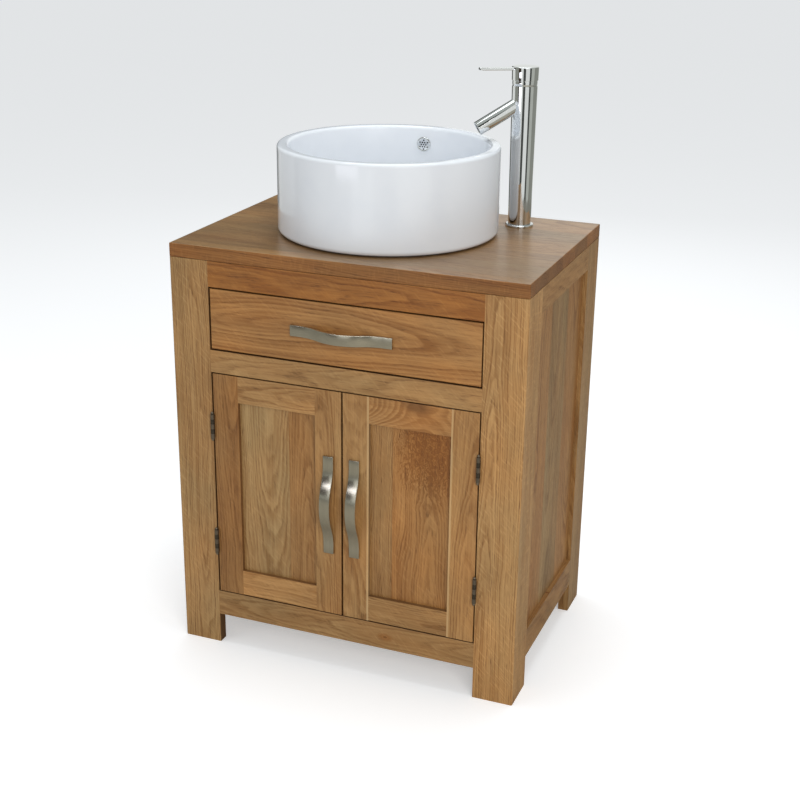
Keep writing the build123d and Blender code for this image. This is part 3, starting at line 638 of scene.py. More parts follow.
def new_finish(name, roughness=0.4, metallic=0.0, coat=0.0, coat_roughness=0.1, specular=0.5):
    """A material with one Principled shader; returns it with its wiring and the shader's inputs."""
    made = bpy.data.materials.new(name)
    made.use_nodes = True
    w = Wiring(made.node_tree)
    shader = made.node_tree.nodes["Principled BSDF"]
    for socket, value in (
        ("Roughness", roughness), ("Metallic", metallic), ("Coat Weight", coat),
        ("Coat Roughness", coat_roughness), ("Specular IOR Level", specular),
    ):
        shader.inputs[socket].default_value = value
    return made, w, shader.inputs


def raised(w, inputs, height, distance, strength=1.0):
    bump = w.node("ShaderNodeBump")
    bump.inputs["Strength"].default_value = strength
    bump.inputs["Distance"].default_value = distance
    w.feed(bump.inputs["Height"], height)
    w.feed(inputs["Normal"], bump.outputs[0])


def place_of(w):
    return w.node("ShaderNodeTexCoord").outputs["Object"]


def along_grain(w, place, grain):
    """The place with its axes in the order along, across and through the board."""
    parts = dict(zip("xyz", w.split(place)))
    return w.join(*[parts[axis] for axis in grain])


def oak_finish(name, grain, centre, gap_shade=0.0, gloss=1.0, **values):
    """Lacquered oak whose grain runs along the first axis of the three, measured from the centre.

    Painted shade darkens the narrow faces beside the gaps by the given share, and gloss polishes the upward
    face while the edge tint paints shade on the other faces.
    """
    oak = bpy.context.scene.vanity_oak
    made, w, inputs = new_finish(name, coat=oak.lacquer, coat_roughness=0.28, specular=0.3)
    coordinates = w.node("ShaderNodeTexCoord").outputs
    _, across_front, up = w.split(coordinates["Normal"])
    place = along_grain(w, w.vector("SUBTRACT", coordinates["Object"], centre), grain)
    given = {tone.capitalize(): tuple(getattr(oak, tone)) for tone in ("pale", "deep", "pore", "sap")}
    given["Ring_Width"] = oak.ring
    given.update(values)
    wood = w.group(bpy.data.node_groups["Oak grain"], Place=place, **given)
    colour = wood["Color"]
    if gloss > 1:
        flat = w.span(up, 0.6, 0.9)
        w.feed(inputs["Coat Weight"], w.span(flat, 0.0, 1.0, oak.lacquer, oak.lacquer * gloss))
        # painted shade: faces that don't face up are multiplied by the edge tint, the top stays as it is
        colour = w.vector("MULTIPLY", colour, w.blend(flat, tuple(oak.edge), (1.0, 1.0, 1.0)))
    # painted shade: faces turned sideways to the front, inside the frame, darken towards the pore colour
    if gap_shade:
        sideways = w.span(w.math("ABSOLUTE", across_front), 0.75, 0.5)
        within = w.span(w.math("ABSOLUTE", w.split(coordinates["Object"])[0]), GAP_SHADE_NONE, GAP_SHADE_FULL)
        colour = w.blend(w.times(w.times(sideways, within), gap_shade), colour, tuple(oak.pore))
    w.feed(inputs["Base Color"], colour)
    w.feed(inputs["Roughness"], wood["Roughness"])
    raised(w, inputs, wood["Height"], 0.0004, 0.5)
    return made


def smudges(w, scale, clean, marked):
    return w.group(
        bpy.data.node_groups["Smudges"], Place=place_of(w), Scale=scale, Clean=clean, Marked=marked)


def metal_finish(name, base, clean, marked, scale=30.0):
    made, w, inputs = new_finish(name, metallic=1.0)
    smudge = smudges(w, scale, clean, marked)
    shade = w.rest(w.times(smudge["Mask"], 0.06))
    w.feed(inputs["Base Color"], w.scaled(base, shade))
    w.feed(inputs["Roughness"], smudge["Roughness"])
    return made


def gritty_finish(name, base, roughness, metallic=0.0, amount=0.15, scale=60.0, bump=0.0001, coat=0.0):
    made, w, inputs = new_finish(name, roughness, metallic, coat)
    grit = w.group(bpy.data.node_groups["Fine grit"], Place=place_of(w), Scale=scale, Amount=amount)
    w.feed(inputs["Base Color"], w.scaled(base, grit["Shade"]))
    w.feed(inputs["Roughness"], w.times(grit["Shade"], roughness))
    raised(w, inputs, grit["Height"], bump, 0.4)
    return made


def nickel_finish(name, grain, centre):
    """Brushed strap metal, the brushing along the first axis."""
    made, w, inputs = new_finish(name, metallic=1.0)
    place = along_grain(w, w.vector("SUBTRACT", place_of(w), centre), grain)
    lines = w.group(bpy.data.node_groups["Brushed lines"], Place=place, Base=0.21, Depth=0.2)
    w.feed(inputs["Base Color"], w.scaled(tuple(bpy.context.scene.vanity_metals.nickel), lines["Shade"]))
    w.feed(inputs["Roughness"], lines["Roughness"])
    raised(w, inputs, lines["Height"], 0.00005, 0.35)
    return made


def plywood_finish(name, thin, grain):
    """Rotary-cut veneer on the two faces and thin plies on the edges."""
    made, w, inputs = new_finish(name, 0.55, coat=0.1, coat_roughness=0.3)
    parts = dict(zip("xyz", w.split(place_of(w))))
    facing = dict(zip("xyz", w.split(w.node("ShaderNodeTexCoord").outputs["Normal"])))
    place = w.join(*[parts[axis] for axis in grain])
    wave = w.noise(place, stretch=(1.6, 11.0, 11.0), detail=2.0)
    contour = w.math("SINE", w.times(wave, 95.0))
    drift = w.noise(place, stretch=(4.0, 60.0, 60.0), detail=3.0)
    fibre = w.noise(place, stretch=(25.0, 500.0, 500.0), detail=2.0)
    figure = w.plus(w.times(w.span(contour, 0.0, 1.0), 0.45), w.times(drift, 0.7))
    veneer = w.blend(w.minus(figure, 0.1, clamp=True), (0.50, 0.34, 0.19), (0.36, 0.215, 0.105))
    veneer = w.blend(w.times(w.span(fibre, 0.52, 0.72), 0.45), veneer, (0.24, 0.135, 0.06))
    ply = w.math("SINE", w.times(parts[thin], math.tau / PLY_PITCH))
    edge = w.blend(w.span(ply, -0.4, 0.4), (0.42, 0.27, 0.14), (0.25, 0.14, 0.065))
    on_face = w.span(w.math("ABSOLUTE", facing[thin]), 0.6, 0.8)
    w.feed(inputs["Base Color"], w.blend(on_face, edge, veneer))
    raised(w, inputs, fibre, 0.0002, 0.3)
    return made


def make_groups():
    for build in (oak_grain_group, smudge_group, brushed_group, speckle_group):
        build()


def paint(node, material):
    obj = frame["nodes"][node]
    for slot in obj.material_slots:
        slot.material = material


# ---- Operators: finishes on the joinery ----
class FinishJoinery(bpy.types.Operator):
    """Gives each oak board its own figure and tone"""

    bl_idname = "vanity.finish_joinery"
    bl_label = "Oak joinery"

    def execute(self, context):
        top = middle_of("worktop")
        paint("worktop", oak_finish(
            "Oak worktop", "xyz", (top.x, top.y + 0.008, top.z), gloss=5.0, Board_Width=0.082, Seed=11.0,
            Lean=0.03, Board_Spread=0.16, Tone=0.75, Redness=0.05))
        single = {          # grain and the painted shade on the faces beside the gaps
            "front_top_rail": ("xzy", 0.9, dict(Seed=2.0, Redness=1.6, Tone=0.64)),
            "front_mid_rail": ("xzy", 0.9, dict(Seed=4.0, Contrast=0.7)),
            "front_bottom_rail": ("xzy", 0.9, dict(
                Seed=6.0, Tone=0.96, Contrast=0.8, Knot=(0.085, 0.0, 0.0), Knot_Size=0.0024)),
            "drawer_front": ("xzy", 0.6, dict(
                Seed=21.0, Tone=0.85, Redness=0.7, Pith_Depth=0.02, Lean=0.11, Curl=0.8, Contrast=1.1,
                Ring_Width=0.007)),
            "front_leg_left": ("zxy", 0.9, dict(Seed=8.0, Pith_Depth=0.035, Lean=0.04, Fleck=0.3)),
            "front_leg_right": ("zxy", 0.9, dict(Seed=9.0, Tone=1.1, Lean=0.03, Fleck=0.4)),
            "rear_leg_left": ("zxy", 0.0, dict(Seed=10.0)),
            "rear_leg_right": ("zxy", 0.0, dict(Seed=12.0, Tone=0.85)),
        }
        for node, (grain, gap_shade, values) in single.items():
            paint(node, oak_finish(f"Oak {node}", grain, middle_of(node), gap_shade, **values))
        repeated = {        # grain, pitch from board to board and the first board's middle
            "rear_rails": ("xzy", 0.645, 0.0475, dict(Seed=14.0)),
            "side_rails": ("yzx", 0.645, 0.055, dict(Seed=15.0, Tone=0.86, Redness=0.3)),
            "side_panel_left": ("zyx", 0.105, 0.158, dict(Seed=16.0, Odd_Tone=0.87, Odd_Redness=0.5)),
            "side_panel_right": ("zyx", 0.105, 0.158, dict(
                Seed=17.0, Redness=-0.2, Tone=0.9, Odd_Tone=0.84, Odd_Redness=0.9, Contrast=1.2)),
            "left_door_panel": ("zxy", 0.098, 0.055, dict(
                Seed=18.0, Pith_Depth=0.03, Redness=-0.3, Odd_Tone=0.9, Odd_Redness=0.8)),
            "right_door_panel": ("zxy", 0.14, -0.02, dict(
                Seed=23.0, Curl=1.5, Tone=0.97, Redness=0.1, Odd_Redness=0.6,
                Burl=(0.135, 0.132, 0.0), Burl_Size=0.085)),
            "left_door_stiles": ("zxy", 0.201, 0.025, dict(
                Seed=24.0, Tone=0.8, Redness=0.7, Odd_Tone=1.2, Odd_Redness=-0.5)),
            "right_door_stiles": ("zxy", 0.201, 0.025, dict(
                Seed=26.0, Tone=0.95, Redness=0.2, Sap_Place=0.0245, Sap_Width=0.004)),
            "left_door_rails": ("xzy", 0.386, 0.025, dict(Seed=28.0, Tone=1.05, Redness=0.3)),
            "right_door_rails": ("xzy", 0.386, 0.025, dict(
                Seed=31.0, Curl=1.2, Knot=(0.014, 0.407, 0.0), Knot_Size=0.02,
                Ring_Width=0.0028)),
        }
        for node, (grain, pitch, first, values) in repeated.items():
            low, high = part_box(node)
            centre = (low + high) / 2
            across = "xyz".index(grain[1])
            centre[across] = low[across] + first
            # painted shade on the door frames' faces beside the gaps
            gap_shade = 0.6 if "door_stiles" in node or "door_rails" in node else 0.0
            paint(node, oak_finish(f"Oak {node}", grain, centre, gap_shade, Board_Width=pitch, **values))
        paint("drawer_sides", oak_finish(
            "Pale oak sides", "yzx", middle_of("drawer_sides"), Seed=33.0, Tone=1.15, Contrast=0.6))
        paint("drawer_inner_walls", oak_finish(
            "Pale oak inner walls", "xzy", middle_of("drawer_inner_walls"), Seed=35.0, Tone=1.15,
            Contrast=0.5, Lean=0.0))
        for node, name, thin, grain in (
            ("back_panel", "Plywood back", "y", "xzy"), ("cabinet_floor", "Plywood floor", "z", "xyz"),
            ("drawer_bottom", "Plywood drawer bottom", "z", "xyz"),
        ):
            paint(node, plywood_finish(name, thin, grain))
        paint("drawer_runners", oak_finish(
            "Beech runners", "yzx", middle_of("drawer_runners"), Seed=37.0, Contrast=0.35, Tone=1.15,
            Pale=(0.52, 0.31, 0.17), Deep=(0.42, 0.23, 0.12)))
        return {"FINISHED"}


class FinishFittings(bpy.types.Operator):
    """Finishes of the small fittings that keep their frame shapes"""

    bl_idname = "vanity.finish_fittings"
    bl_label = "Small fittings"

    def execute(self, context):
        metals = context.scene.vanity_metals
        chrome = metal_finish("Chrome plate", tuple(metals.chrome), 0.035, 0.09)
        zinc = gritty_finish("Zinc plated steel", (0.52, 0.53, 0.55), 0.34, 1.0, 0.35, 180.0)
        worn = gritty_finish("Worn bronze", [1.3 * part for part in metals.bronze], 0.36, 0.85, 0.7, 220.0)
        bronze = gritty_finish("Aged bronze", [0.55 * part for part in metals.bronze], 0.45, 0.85, 0.7, 220.0)
        brass = gritty_finish("Bare brass", (0.72, 0.52, 0.25), 0.3, 1.0, 0.25, 120.0)
        plastic = gritty_finish("White trap plastic", (0.78, 0.78, 0.76), 0.36, 0.0, 0.08, 40.0, coat=0.1)
        dark = gritty_finish("Black rubber", (0.02, 0.02, 0.021), 0.6, 0.0, 0.3, 150.0)
        grey = gritty_finish("Grey plastic", (0.25, 0.25, 0.26), 0.4, 0.0, 0.12, 90.0)
        brown = gritty_finish("Brown catch plastic", (0.16, 0.09, 0.05), 0.42, 0.0, 0.15, 90.0)
        finishes = {
            chrome: ("waste_body", "waste_plug"),
            zinc: ("worktop_brackets", "tap_fixing_plate", "drawer_handle_screws", "left_door_handle_screws",
                   "right_door_handle_screws", "left_door_strike", "right_door_strike"),
            worn: ("hinge_frame_leaves", "hinge_pins"),
            bronze: ("left_door_hinge_leaves", "right_door_hinge_leaves"),
            brass: ("waste_backnut", "tap_shank", "tap_backnut", "cartridge_rotor"),
            plastic: ("trap_nuts", "trap_body", "trap_cup", "trap_outlet_pipe"),
            dark: ("basin_gasket",),
            grey: ("tap_cartridge",),
            brown: ("door_magnets",),
        }
        for material, nodes in finishes.items():
            for node in nodes:
                paint(node, material)
        return {"FINISHED"}


# ---- Operators: basin ----
class BuildBasin(bpy.types.Operator):
    """The round white basin"""

    bl_idname = "vanity.build_basin"
    bl_label = "Basin"

    def execute(self, context):
        size = context.scene.vanity_basin
        wall = size.radius - size.rim
        outline = rounded_outline([
            (size.radius * 0.8, size.lift, 0),
            (size.radius, size.lift, size.foot_round),
            (size.radius, size.height, 0.006),
            (wall, size.height, 0.007),
            (wall - size.taper, size.floor + 0.008, size.corner_round),
            (0.036, size.floor, 0.0015),
            (0.0335, size.floor - 0.003, 0),
            (0.0225, size.floor - 0.003, 0),
        ], steps=12)
        obj = turned_piece("basin", outline, BASIN_CENTRE, 160)
        finish_shape(obj, 40)
        made, w, inputs = new_finish("White glaze", 0.12, coat=0.15, coat_roughness=0.05, specular=0.4)
        smudge = smudges(w, 9.0, 0.11, 0.2)
        w.feed(inputs["Base Color"], w.blend(
            w.times(smudge["Mask"], 0.35), tuple(size.glaze), (0.72, 0.755, 0.81)))
        w.feed(inputs["Roughness"], smudge["Roughness"])
        raised(w, inputs, smudge["Height"], 0.0006, 0.12)
        give(obj, made, "cabinet", "ceramic", "basin_bowl")
        return {"FINISHED"}


class BuildOverflow(bpy.types.Operator):
    """The pierced cover of the overflow"""

    bl_idname = "vanity.build_overflow"
    bl_label = "Overflow cover"

    def execute(self, context):
        low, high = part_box("overflow_ring")
        radius = (high.x - low.x) / 2
        thick = 0.003
        hole = radius * 0.11
        pierced = radius * 0.73
        outline = rounded_outline([
            (radius * 0.98, 0.0, 0), (radius, 0.0, 0), (radius, thick * 0.7, 0.0012),
            (radius * 0.86, thick, 0.0008), (radius * 0.76, thick * 0.62, 0.0008),
            (radius * 0.4, thick * 0.8, 0), (radius * 0.1, thick * 0.86, 0),
        ], steps=5)
        obj = turned_piece("overflow_cover", outline, around=72)
        finish_shape(obj, 35)
        holes = [(0.0, 0.0)]
        for count, reach, start in ((6, 0.33, 0.0), (6, 0.60, 30.0)):
            for number in range(count):
                turn = math.radians(start + number * 360 / count)
                holes.append((radius * reach * math.cos(turn), radius * reach * math.sin(turn)))
        cutters = []
        for x, y in holes:
            clear_selection()
            bpy.ops.mesh.primitive_cylinder_add(
                vertices=16, radius=hole, depth=thick, location=(x, y, thick))
            cutters.append(named("hole_cutter"))
        cut_away(obj, joined(cutters), "Holes")
        metals = context.scene.vanity_metals
        chrome = metal_finish("Chrome cover", tuple(metals.chrome), 0.05, 0.12, 60.0)
        # painted shade: near-black for the blind holes, standing in for the shade of the channel behind the
        # cover
        dark = gritty_finish("Overflow depth", (0.012, 0.012, 0.012), 0.7, 0.0, 0.3, 200.0)
        obj.data.materials.clear()
        obj.data.materials.append(chrome)
        obj.data.materials.append(dark)
        # the painted shade goes on the hole floors and on the hole walls within the pierced ring
        edit(obj)
        pick_faces(obj, lambda c, n: abs(c.z - thick / 2) < 1e-5 and abs(n.z) > 0.9)
        pick_faces(obj, lambda c, n: abs(n.z) < 0.2 and thick / 2 < c.z < thick * 0.9 and
                   c.xy.length < pierced)
        obj.active_material_index = 1
        bpy.ops.object.material_slot_assign()
        bpy.ops.object.mode_set(mode="OBJECT")
        centre = middle_of("overflow_ring")
        place = Matrix.Translation((centre.x, low.y + thick, centre.z))
        obj.matrix_world = place @ Matrix.Rotation(math.radians(90), 4, "X")
        select_only(obj)
        bpy.ops.object.transform_apply(location=True, rotation=True, scale=True)
        bpy.ops.object.shade_smooth_by_angle(angle=math.radians(30))
        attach(obj, "cabinet")
        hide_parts("overflow_ring")
        return {"FINISHED"}


# ---- Operators: tap ----
BALL_TOP, CAP_LOW = 0.274, 0.266            # above the worktop


def tap_place(direction):
    return Matrix.Translation(TAP_FOOT) @ Matrix.Rotation(direction, 4, "Z")


class BuildTapBody(bpy.types.Operator):
    """The tap's base ring, column with rounded neck, spout and aerator"""

    bl_idname = "vanity.build_tap_body"
    bl_label = "Tap body"

    def execute(self, context):
        size = context.scene.vanity_tap
        chrome = metal_finish("Tap chrome", tuple(context.scene.vanity_metals.chrome), 0.03, 0.07, 22.0)
        ring = turned_piece("tap_ring", rounded_outline([
            (0.016, 0, 0), (size.ring_radius, 0, 0.0004), (size.ring_radius, size.ring_height, 0.0022),
            (size.foot_radius - 0.002, size.ring_height, 0),
        ]))
        finish_shape(ring, 35, tap_place(size.direction))
        give(ring, chrome, "cabinet", "chrome", "tap_base_ring")

        pivot = TAP_PIVOT.z - WORKTOP_Z
        seat, steps = size.ring_height + 0.0001, 12
        outline = [(0.0165, seat), (size.foot_radius - 0.0004, seat),
                   (size.foot_radius, size.ring_height + 0.0005), (size.neck_radius, size.neck_height)]
        top = BALL_TOP - pivot
        for step in range(steps + 1):
            height = (size.neck_height - pivot) + (top - size.neck_height + pivot) * step / steps
            outline.append((math.sqrt(size.ball_radius ** 2 - height ** 2), pivot + height))
        outline.append((0.0146, pivot + top))
        column = turned_piece("tap_column", outline)
        finish_shape(column, 35, tap_place(size.direction))
        give(column, chrome, "cabinet", "chrome", "tap_body")

        along = tap_place(size.direction) @ Matrix.Translation((0, 0, size.spout_height))
        along = along @ Matrix.Rotation(math.radians(90) + size.spout_drop, 4, "Y")
        spout = turned_piece("tap_spout_tube", rounded_outline([
            (size.spout_radius - 0.003, 0.0145, 0), (size.spout_radius, 0.0145, 0),
            (size.spout_radius, size.spout_length, 0.0007), (0.0108, size.spout_length, 0.0004),
            (0.0105, size.spout_length - 0.004, 0), (0.0098, size.spout_length - 0.004, 0),
        ], steps=5))
        finish_shape(spout, 35, along)
        give(spout, chrome, "cabinet", "chrome", "tap_spout")

        rim, groove, ridge = 0.0012, 0.0026, 0.0018     # behind the spout's mouth
        aerator = turned_piece("tap_aerator_insert", rounded_outline([
            (radius, size.spout_length - behind, rounding) for radius, behind, rounding in (
                (0.0102, 0.0108, 0), (0.0103, rim, 0.0004), (0.0088, rim, 0.0003), (0.0086, groove, 0),
                (0.0070, groove, 0.0002), (0.0068, ridge, 0.0002), (0.0052, ridge, 0.0002),
                (0.0050, groove, 0.0002), (0.0034, groove, 0.0002), (0.0032, ridge, 0.0002),
                (0.0014, ridge, 0),
            )
        ], steps=3), around=64)
        finish_shape(aerator, 35, along)
        plastic = gritty_finish("Aerator plastic", (0.16, 0.16, 0.165), 0.35, 0.0, 0.2, 300.0)
        give(aerator, plastic, "cabinet", "aerator_plastic", "tap_aerator")
        return {"FINISHED"}


class BuildTapHead(bpy.types.Operator):
    """The tap's cap and lever"""

    bl_idname = "vanity.build_tap_head"
    bl_label = "Tap cap and lever"

    def execute(self, context):
        size = context.scene.vanity_tap
        chrome = metal_finish("Cap chrome", tuple(context.scene.vanity_metals.chrome), 0.03, 0.07, 22.0)
        pivot = TAP_PIVOT.z - WORKTOP_Z
        hollow = size.ball_radius + 0.0004
        crown, steps = hollow * 0.985, 10
        outline = []
        for step in range(steps + 1):
            height = crown + (CAP_LOW - pivot - crown) * step / steps
            outline.append((math.sqrt(hollow ** 2 - height ** 2), pivot + height))
        outline += rounded_outline([
            (outline[-1][0] + 0.0002, CAP_LOW, 0), (size.cap_radius - 0.0004, CAP_LOW, 0.0003),
            (size.cap_radius, size.height, 0.0016), (size.cap_radius * 0.5, size.height - 0.0002, 0),
            (size.cap_radius * 0.08, size.height - 0.0001, 0),
        ], steps=7)
        cap = turned_piece("tap_cap_shell", outline)
        finish_shape(cap, 35, tap_place(size.direction))
        give(cap, chrome, "tap_handle", "chrome", "tap_cap")

        start, thick = 0.020, 0.005
        under = size.height - 0.0065
        lever = bar("tap_lever_blade", (start, 0, under + thick / 2), (0.004, 0.0118, thick))
        edit(lever)
        pick_edges(lever, lambda a, b: abs(a.x - b.x) > 0.001)
        bpy.ops.mesh.bevel(offset=0.0011, segments=3, affect="EDGES")
        bpy.ops.mesh.select_mode(type="FACE")
        bpy.ops.mesh.select_all(action="DESELECT")
        pick_faces(lever, lambda c, n: n.x > 0.9)
        here = start + 0.002
        end = size.lever_reach - 0.0001
        for reach, narrow, thin, lift in (
            (0.035, 0.96, 0.97, 0.00003), (0.05, 0.95, 0.96, 0.00003), (0.065, 0.945, 0.96, 0.00003),
            (end - 0.006, 0.93, 0.96, 0.00003), (end - 0.0035, 1.0, 1.06, 0.0004),
            (end - 0.0016, 0.97, 0.98, 0.0001), (end - 0.0005, 0.90, 0.86, 0.0), (end, 0.84, 0.72, 0.0),
        ):
            bpy.ops.mesh.extrude_region_move(TRANSFORM_OT_translate={"value": (reach - here, 0, lift)})
            bpy.ops.transform.resize(
                value=(1, narrow, thin), center_override=(reach, 0, under + thick / 2 + lift))
            here = reach
        finish_shape(lever, place=tap_place(size.direction))
        give(lever, chrome, "tap_handle", "chrome", "tap_lever")
        return {"FINISHED"}


# ---- Operators: handles ----
def strap_stations(size):
    """Middle of the strap's thickness along its length, with its slope."""
    bend = ((size.flat / 2) ** 2 + (size.rise / 2) ** 2) / size.rise
    sweep = math.acos(1 - size.rise / 2 / bend)
    out = size.thick / 2
    steps = 10
    stations = []
    for step in range(steps + 1):
        turn = sweep * step / steps
        reach = bend - out
        stations.append((-size.flat + reach * math.sin(turn), bend - reach * math.cos(turn), turn))
    for step in range(1, 2 * steps + 1):
        turn = sweep - sweep * step / steps
        reach = bend + out
        stations.append((-reach * math.sin(turn), size.rise - bend + reach * math.cos(turn), turn))
    for step in range(1, steps + 1):
        turn = sweep - sweep * step / steps
        reach = bend - out
        stations.append((size.flat - reach * math.sin(turn), bend - reach * math.cos(turn), -turn))
    stations.append((size.span / 2, out, 0.0))
    return stations


def strap_piece(size):
    """One bow handle along X, its feet on the XZ plane, drawn out of its first foot."""
    foot = size.span / 2 - size.flat
    strap = bar("handle_strap", (-size.flat - foot / 2, size.thick / 2, 0), (foot, size.thick, size.width))
    edit(strap)
    pick_edges(strap, lambda a, b: abs(a.x - b.x) > 0.001 and a.y > size.thick * 0.9)
    bpy.ops.mesh.bevel(offset=0.0012, segments=4, affect="EDGES")
    bpy.ops.mesh.select_all(action="DESELECT")
    pick_edges(strap, lambda a, b: abs(a.x - b.x) > 0.001 and a.y < 0.0001 and
               abs(abs(a.z) - size.width / 2) < 1e-5)
    bpy.ops.mesh.bevel(offset=0.0004, segments=2, affect="EDGES")
    bpy.ops.mesh.select_mode(type="FACE")
    bpy.ops.mesh.select_all(action="DESELECT")
    pick_faces(strap, lambda c, n: n.x > 0.9)
    x, y, slope = -size.flat, size.thick / 2, 0.0
    for next_x, next_y, next_slope in strap_stations(size)[1:]:
        bpy.ops.mesh.extrude_region_move(TRANSFORM_OT_translate={"value": (next_x - x, next_y - y, 0)})
        if abs(next_slope - slope) > 1e-7:
            bpy.ops.transform.rotate(
                value=slope - next_slope, orient_axis="Z", center_override=(next_x, next_y, 0))
        x, y, slope = next_x, next_y, next_slope
    for end in (-1, 1):
        bpy.ops.mesh.select_all(action="DESELECT")
        bpy.ops.mesh.select_mode(type="FACE")
        pick_faces(strap, lambda c, n: n.x * end > 0.95 and abs(c.x - end * size.span / 2) < 1e-4)
        bpy.ops.mesh.region_to_loop()
        bpy.ops.mesh.bevel(offset=0.0005, segments=2, affect="EDGES")
    bpy.ops.object.mode_set(mode="OBJECT")
    return strap


class BuildHandles(bpy.types.Operator):
    """Three bow handles, one modelled and two copied"""

    bl_idname = "vanity.build_handles"
    bl_label = "Handles"

    def execute(self, context):
        size = context.scene.vanity_handle
        first = strap_piece(size)
        across = Matrix(((1, 0, 0), (0, -1, 0), (0, 0, -1))).to_4x4()
        upright = Matrix(((0, 0, 1), (0, -1, 0), (1, 0, 0))).to_4x4()
        placed = (
            ("drawer_handle", "drawer", across, "xzy"), ("left_door_handle", "left_door", upright, "zxy"),
            ("right_door_handle", "right_door", upright, "zxy"),
        )
        for node, body, turn, grain in placed:
            copied(first)
            strap = named(node + "_strap")
            low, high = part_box(node)
            foot = Vector(((low.x + high.x) / 2, high.y, (low.z + high.z) / 2))
            finish_shape(strap, place=Matrix.Translation(foot) @ turn)
            give(strap, nickel_finish(f"Brushed nickel {node}", grain, foot), body, "brushed_nickel", node)
        remove(first)
        return {"FINISHED"}


# ---- Operators: hinge screws ----
MIDDLE_SCREW, OUTER_SCREW = 0.25, 0.14      # in from the leaf's rear edge, as shares of its height
SCREW_TURN = 0.9                            # each slot stands this much further round


def screw_piece(size):
    """One slotted countersunk head, its flat on the XY plane."""
    head = turned_piece("screw_head", [
        (size.radius * 0.45, -size.radius * 0.5), (size.radius, 0.0), (size.radius * 0.93, size.dome * 0.7),
        (size.radius * 0.65, size.dome * 0.95), (size.radius * 0.2, size.dome),
    ], around=24)
    blade = bar("slot_cutter", (0, 0, size.dome), (size.radius * 2.4, size.slot, size.dome * 1.6))
    cut_away(head, blade, "Slot")
    return head


class BuildHingeScrews(bpy.types.Operator):
    """Three slotted screws in each hinge leaf, one modelled and the rest copied"""

    bl_idname = "vanity.build_hinge_screws"
    bl_label = "Hinge screws"

    def execute(self, context):
        size = context.scene.vanity_screw
        first = screw_piece(size)
        low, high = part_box("left_door_hinge_leaves")
        half_leaf = size.leaf / 2
        metals = context.scene.vanity_metals
        bronze = gritty_finish("Bronze screws", tuple(metals.bronze), 0.38, 0.85, 0.6, 260.0)
        joints = {joint["name"]: joint for joint in frame["joints"]}
        for side, door in ((-1, "left_door"), (1, "right_door")):
            axis = joints[door + "_hinge"]["pos_m"][0]
            for body, away in (("cabinet", 1), (door, -1)):
                copies = []
                for height in (low.z + half_leaf, high.z - half_leaf):
                    for row in (-1, 0, 1):
                        copy = copied(first)
                        across = axis + side * away * size.gap / 2
                        back = high.y - size.leaf * (MIDDLE_SCREW if row == 0 else OUTER_SCREW)
                        place = Matrix.Translation((across, back, height + row * size.leaf / 3))
                        facing = Matrix.Rotation(-side * away * math.radians(90), 4, "Y")
                        driven = Matrix.Rotation(len(copies) * SCREW_TURN, 4, "Z")
                        copy.matrix_world = place @ facing @ driven
                        copies.append(copy)
                joined(copies)
                screws = named(("frame_" if body == "cabinet" else "") + door + "_hinge_screws")
                finish_shape(screws)
                give(screws, bronze, body, "hinge_metal")
        remove(first)
        return {"FINISHED"}


# ---- Operators: stage ----
SLAT_REACH, SLAT_MIDDLE, SLAT_HEIGHT = 1.6, 1.3, 1.7    # upright reflectors in a ring round the tap
FLOOR_SPAN = 60
SENSOR_WIDTH = 36.0


def aim(place, target):
    """The turn that faces a lamp or a board at the place towards the target."""
    return (Vector(target) - Vector(place)).to_track_quat("-Z", "Y").to_euler()


def lamp(name, place, target, width, height, watts, tint):
    clear_selection()
    bpy.ops.object.light_add(type="AREA", location=place, rotation=aim(place, target))
    light = named(name).data
    light.shape = "RECTANGLE"
    light.size = width
    light.size_y = height
    light.energy = watts
    light.color = tint


def reflector(name, place, target, width, height, tone):
    """A glowing board that only the polished pieces see."""
    clear_selection()
    bpy.ops.mesh.primitive_plane_add(size=1, location=place, rotation=aim(place, target))
    board = named(name)
    board.scale = (width, height, 1)
    made, w, inputs = new_finish(name, 1.0, specular=0.0)
    w.feed(inputs["Base Color"], (0.0, 0.0, 0.0))
    w.feed(inputs["Emission Color"], tone)
    inputs["Emission Strength"].default_value = 1.0
    board.data.materials.append(made)
    board.visible_camera = False
    board.visible_diffuse = False
    board.visible_shadow = False


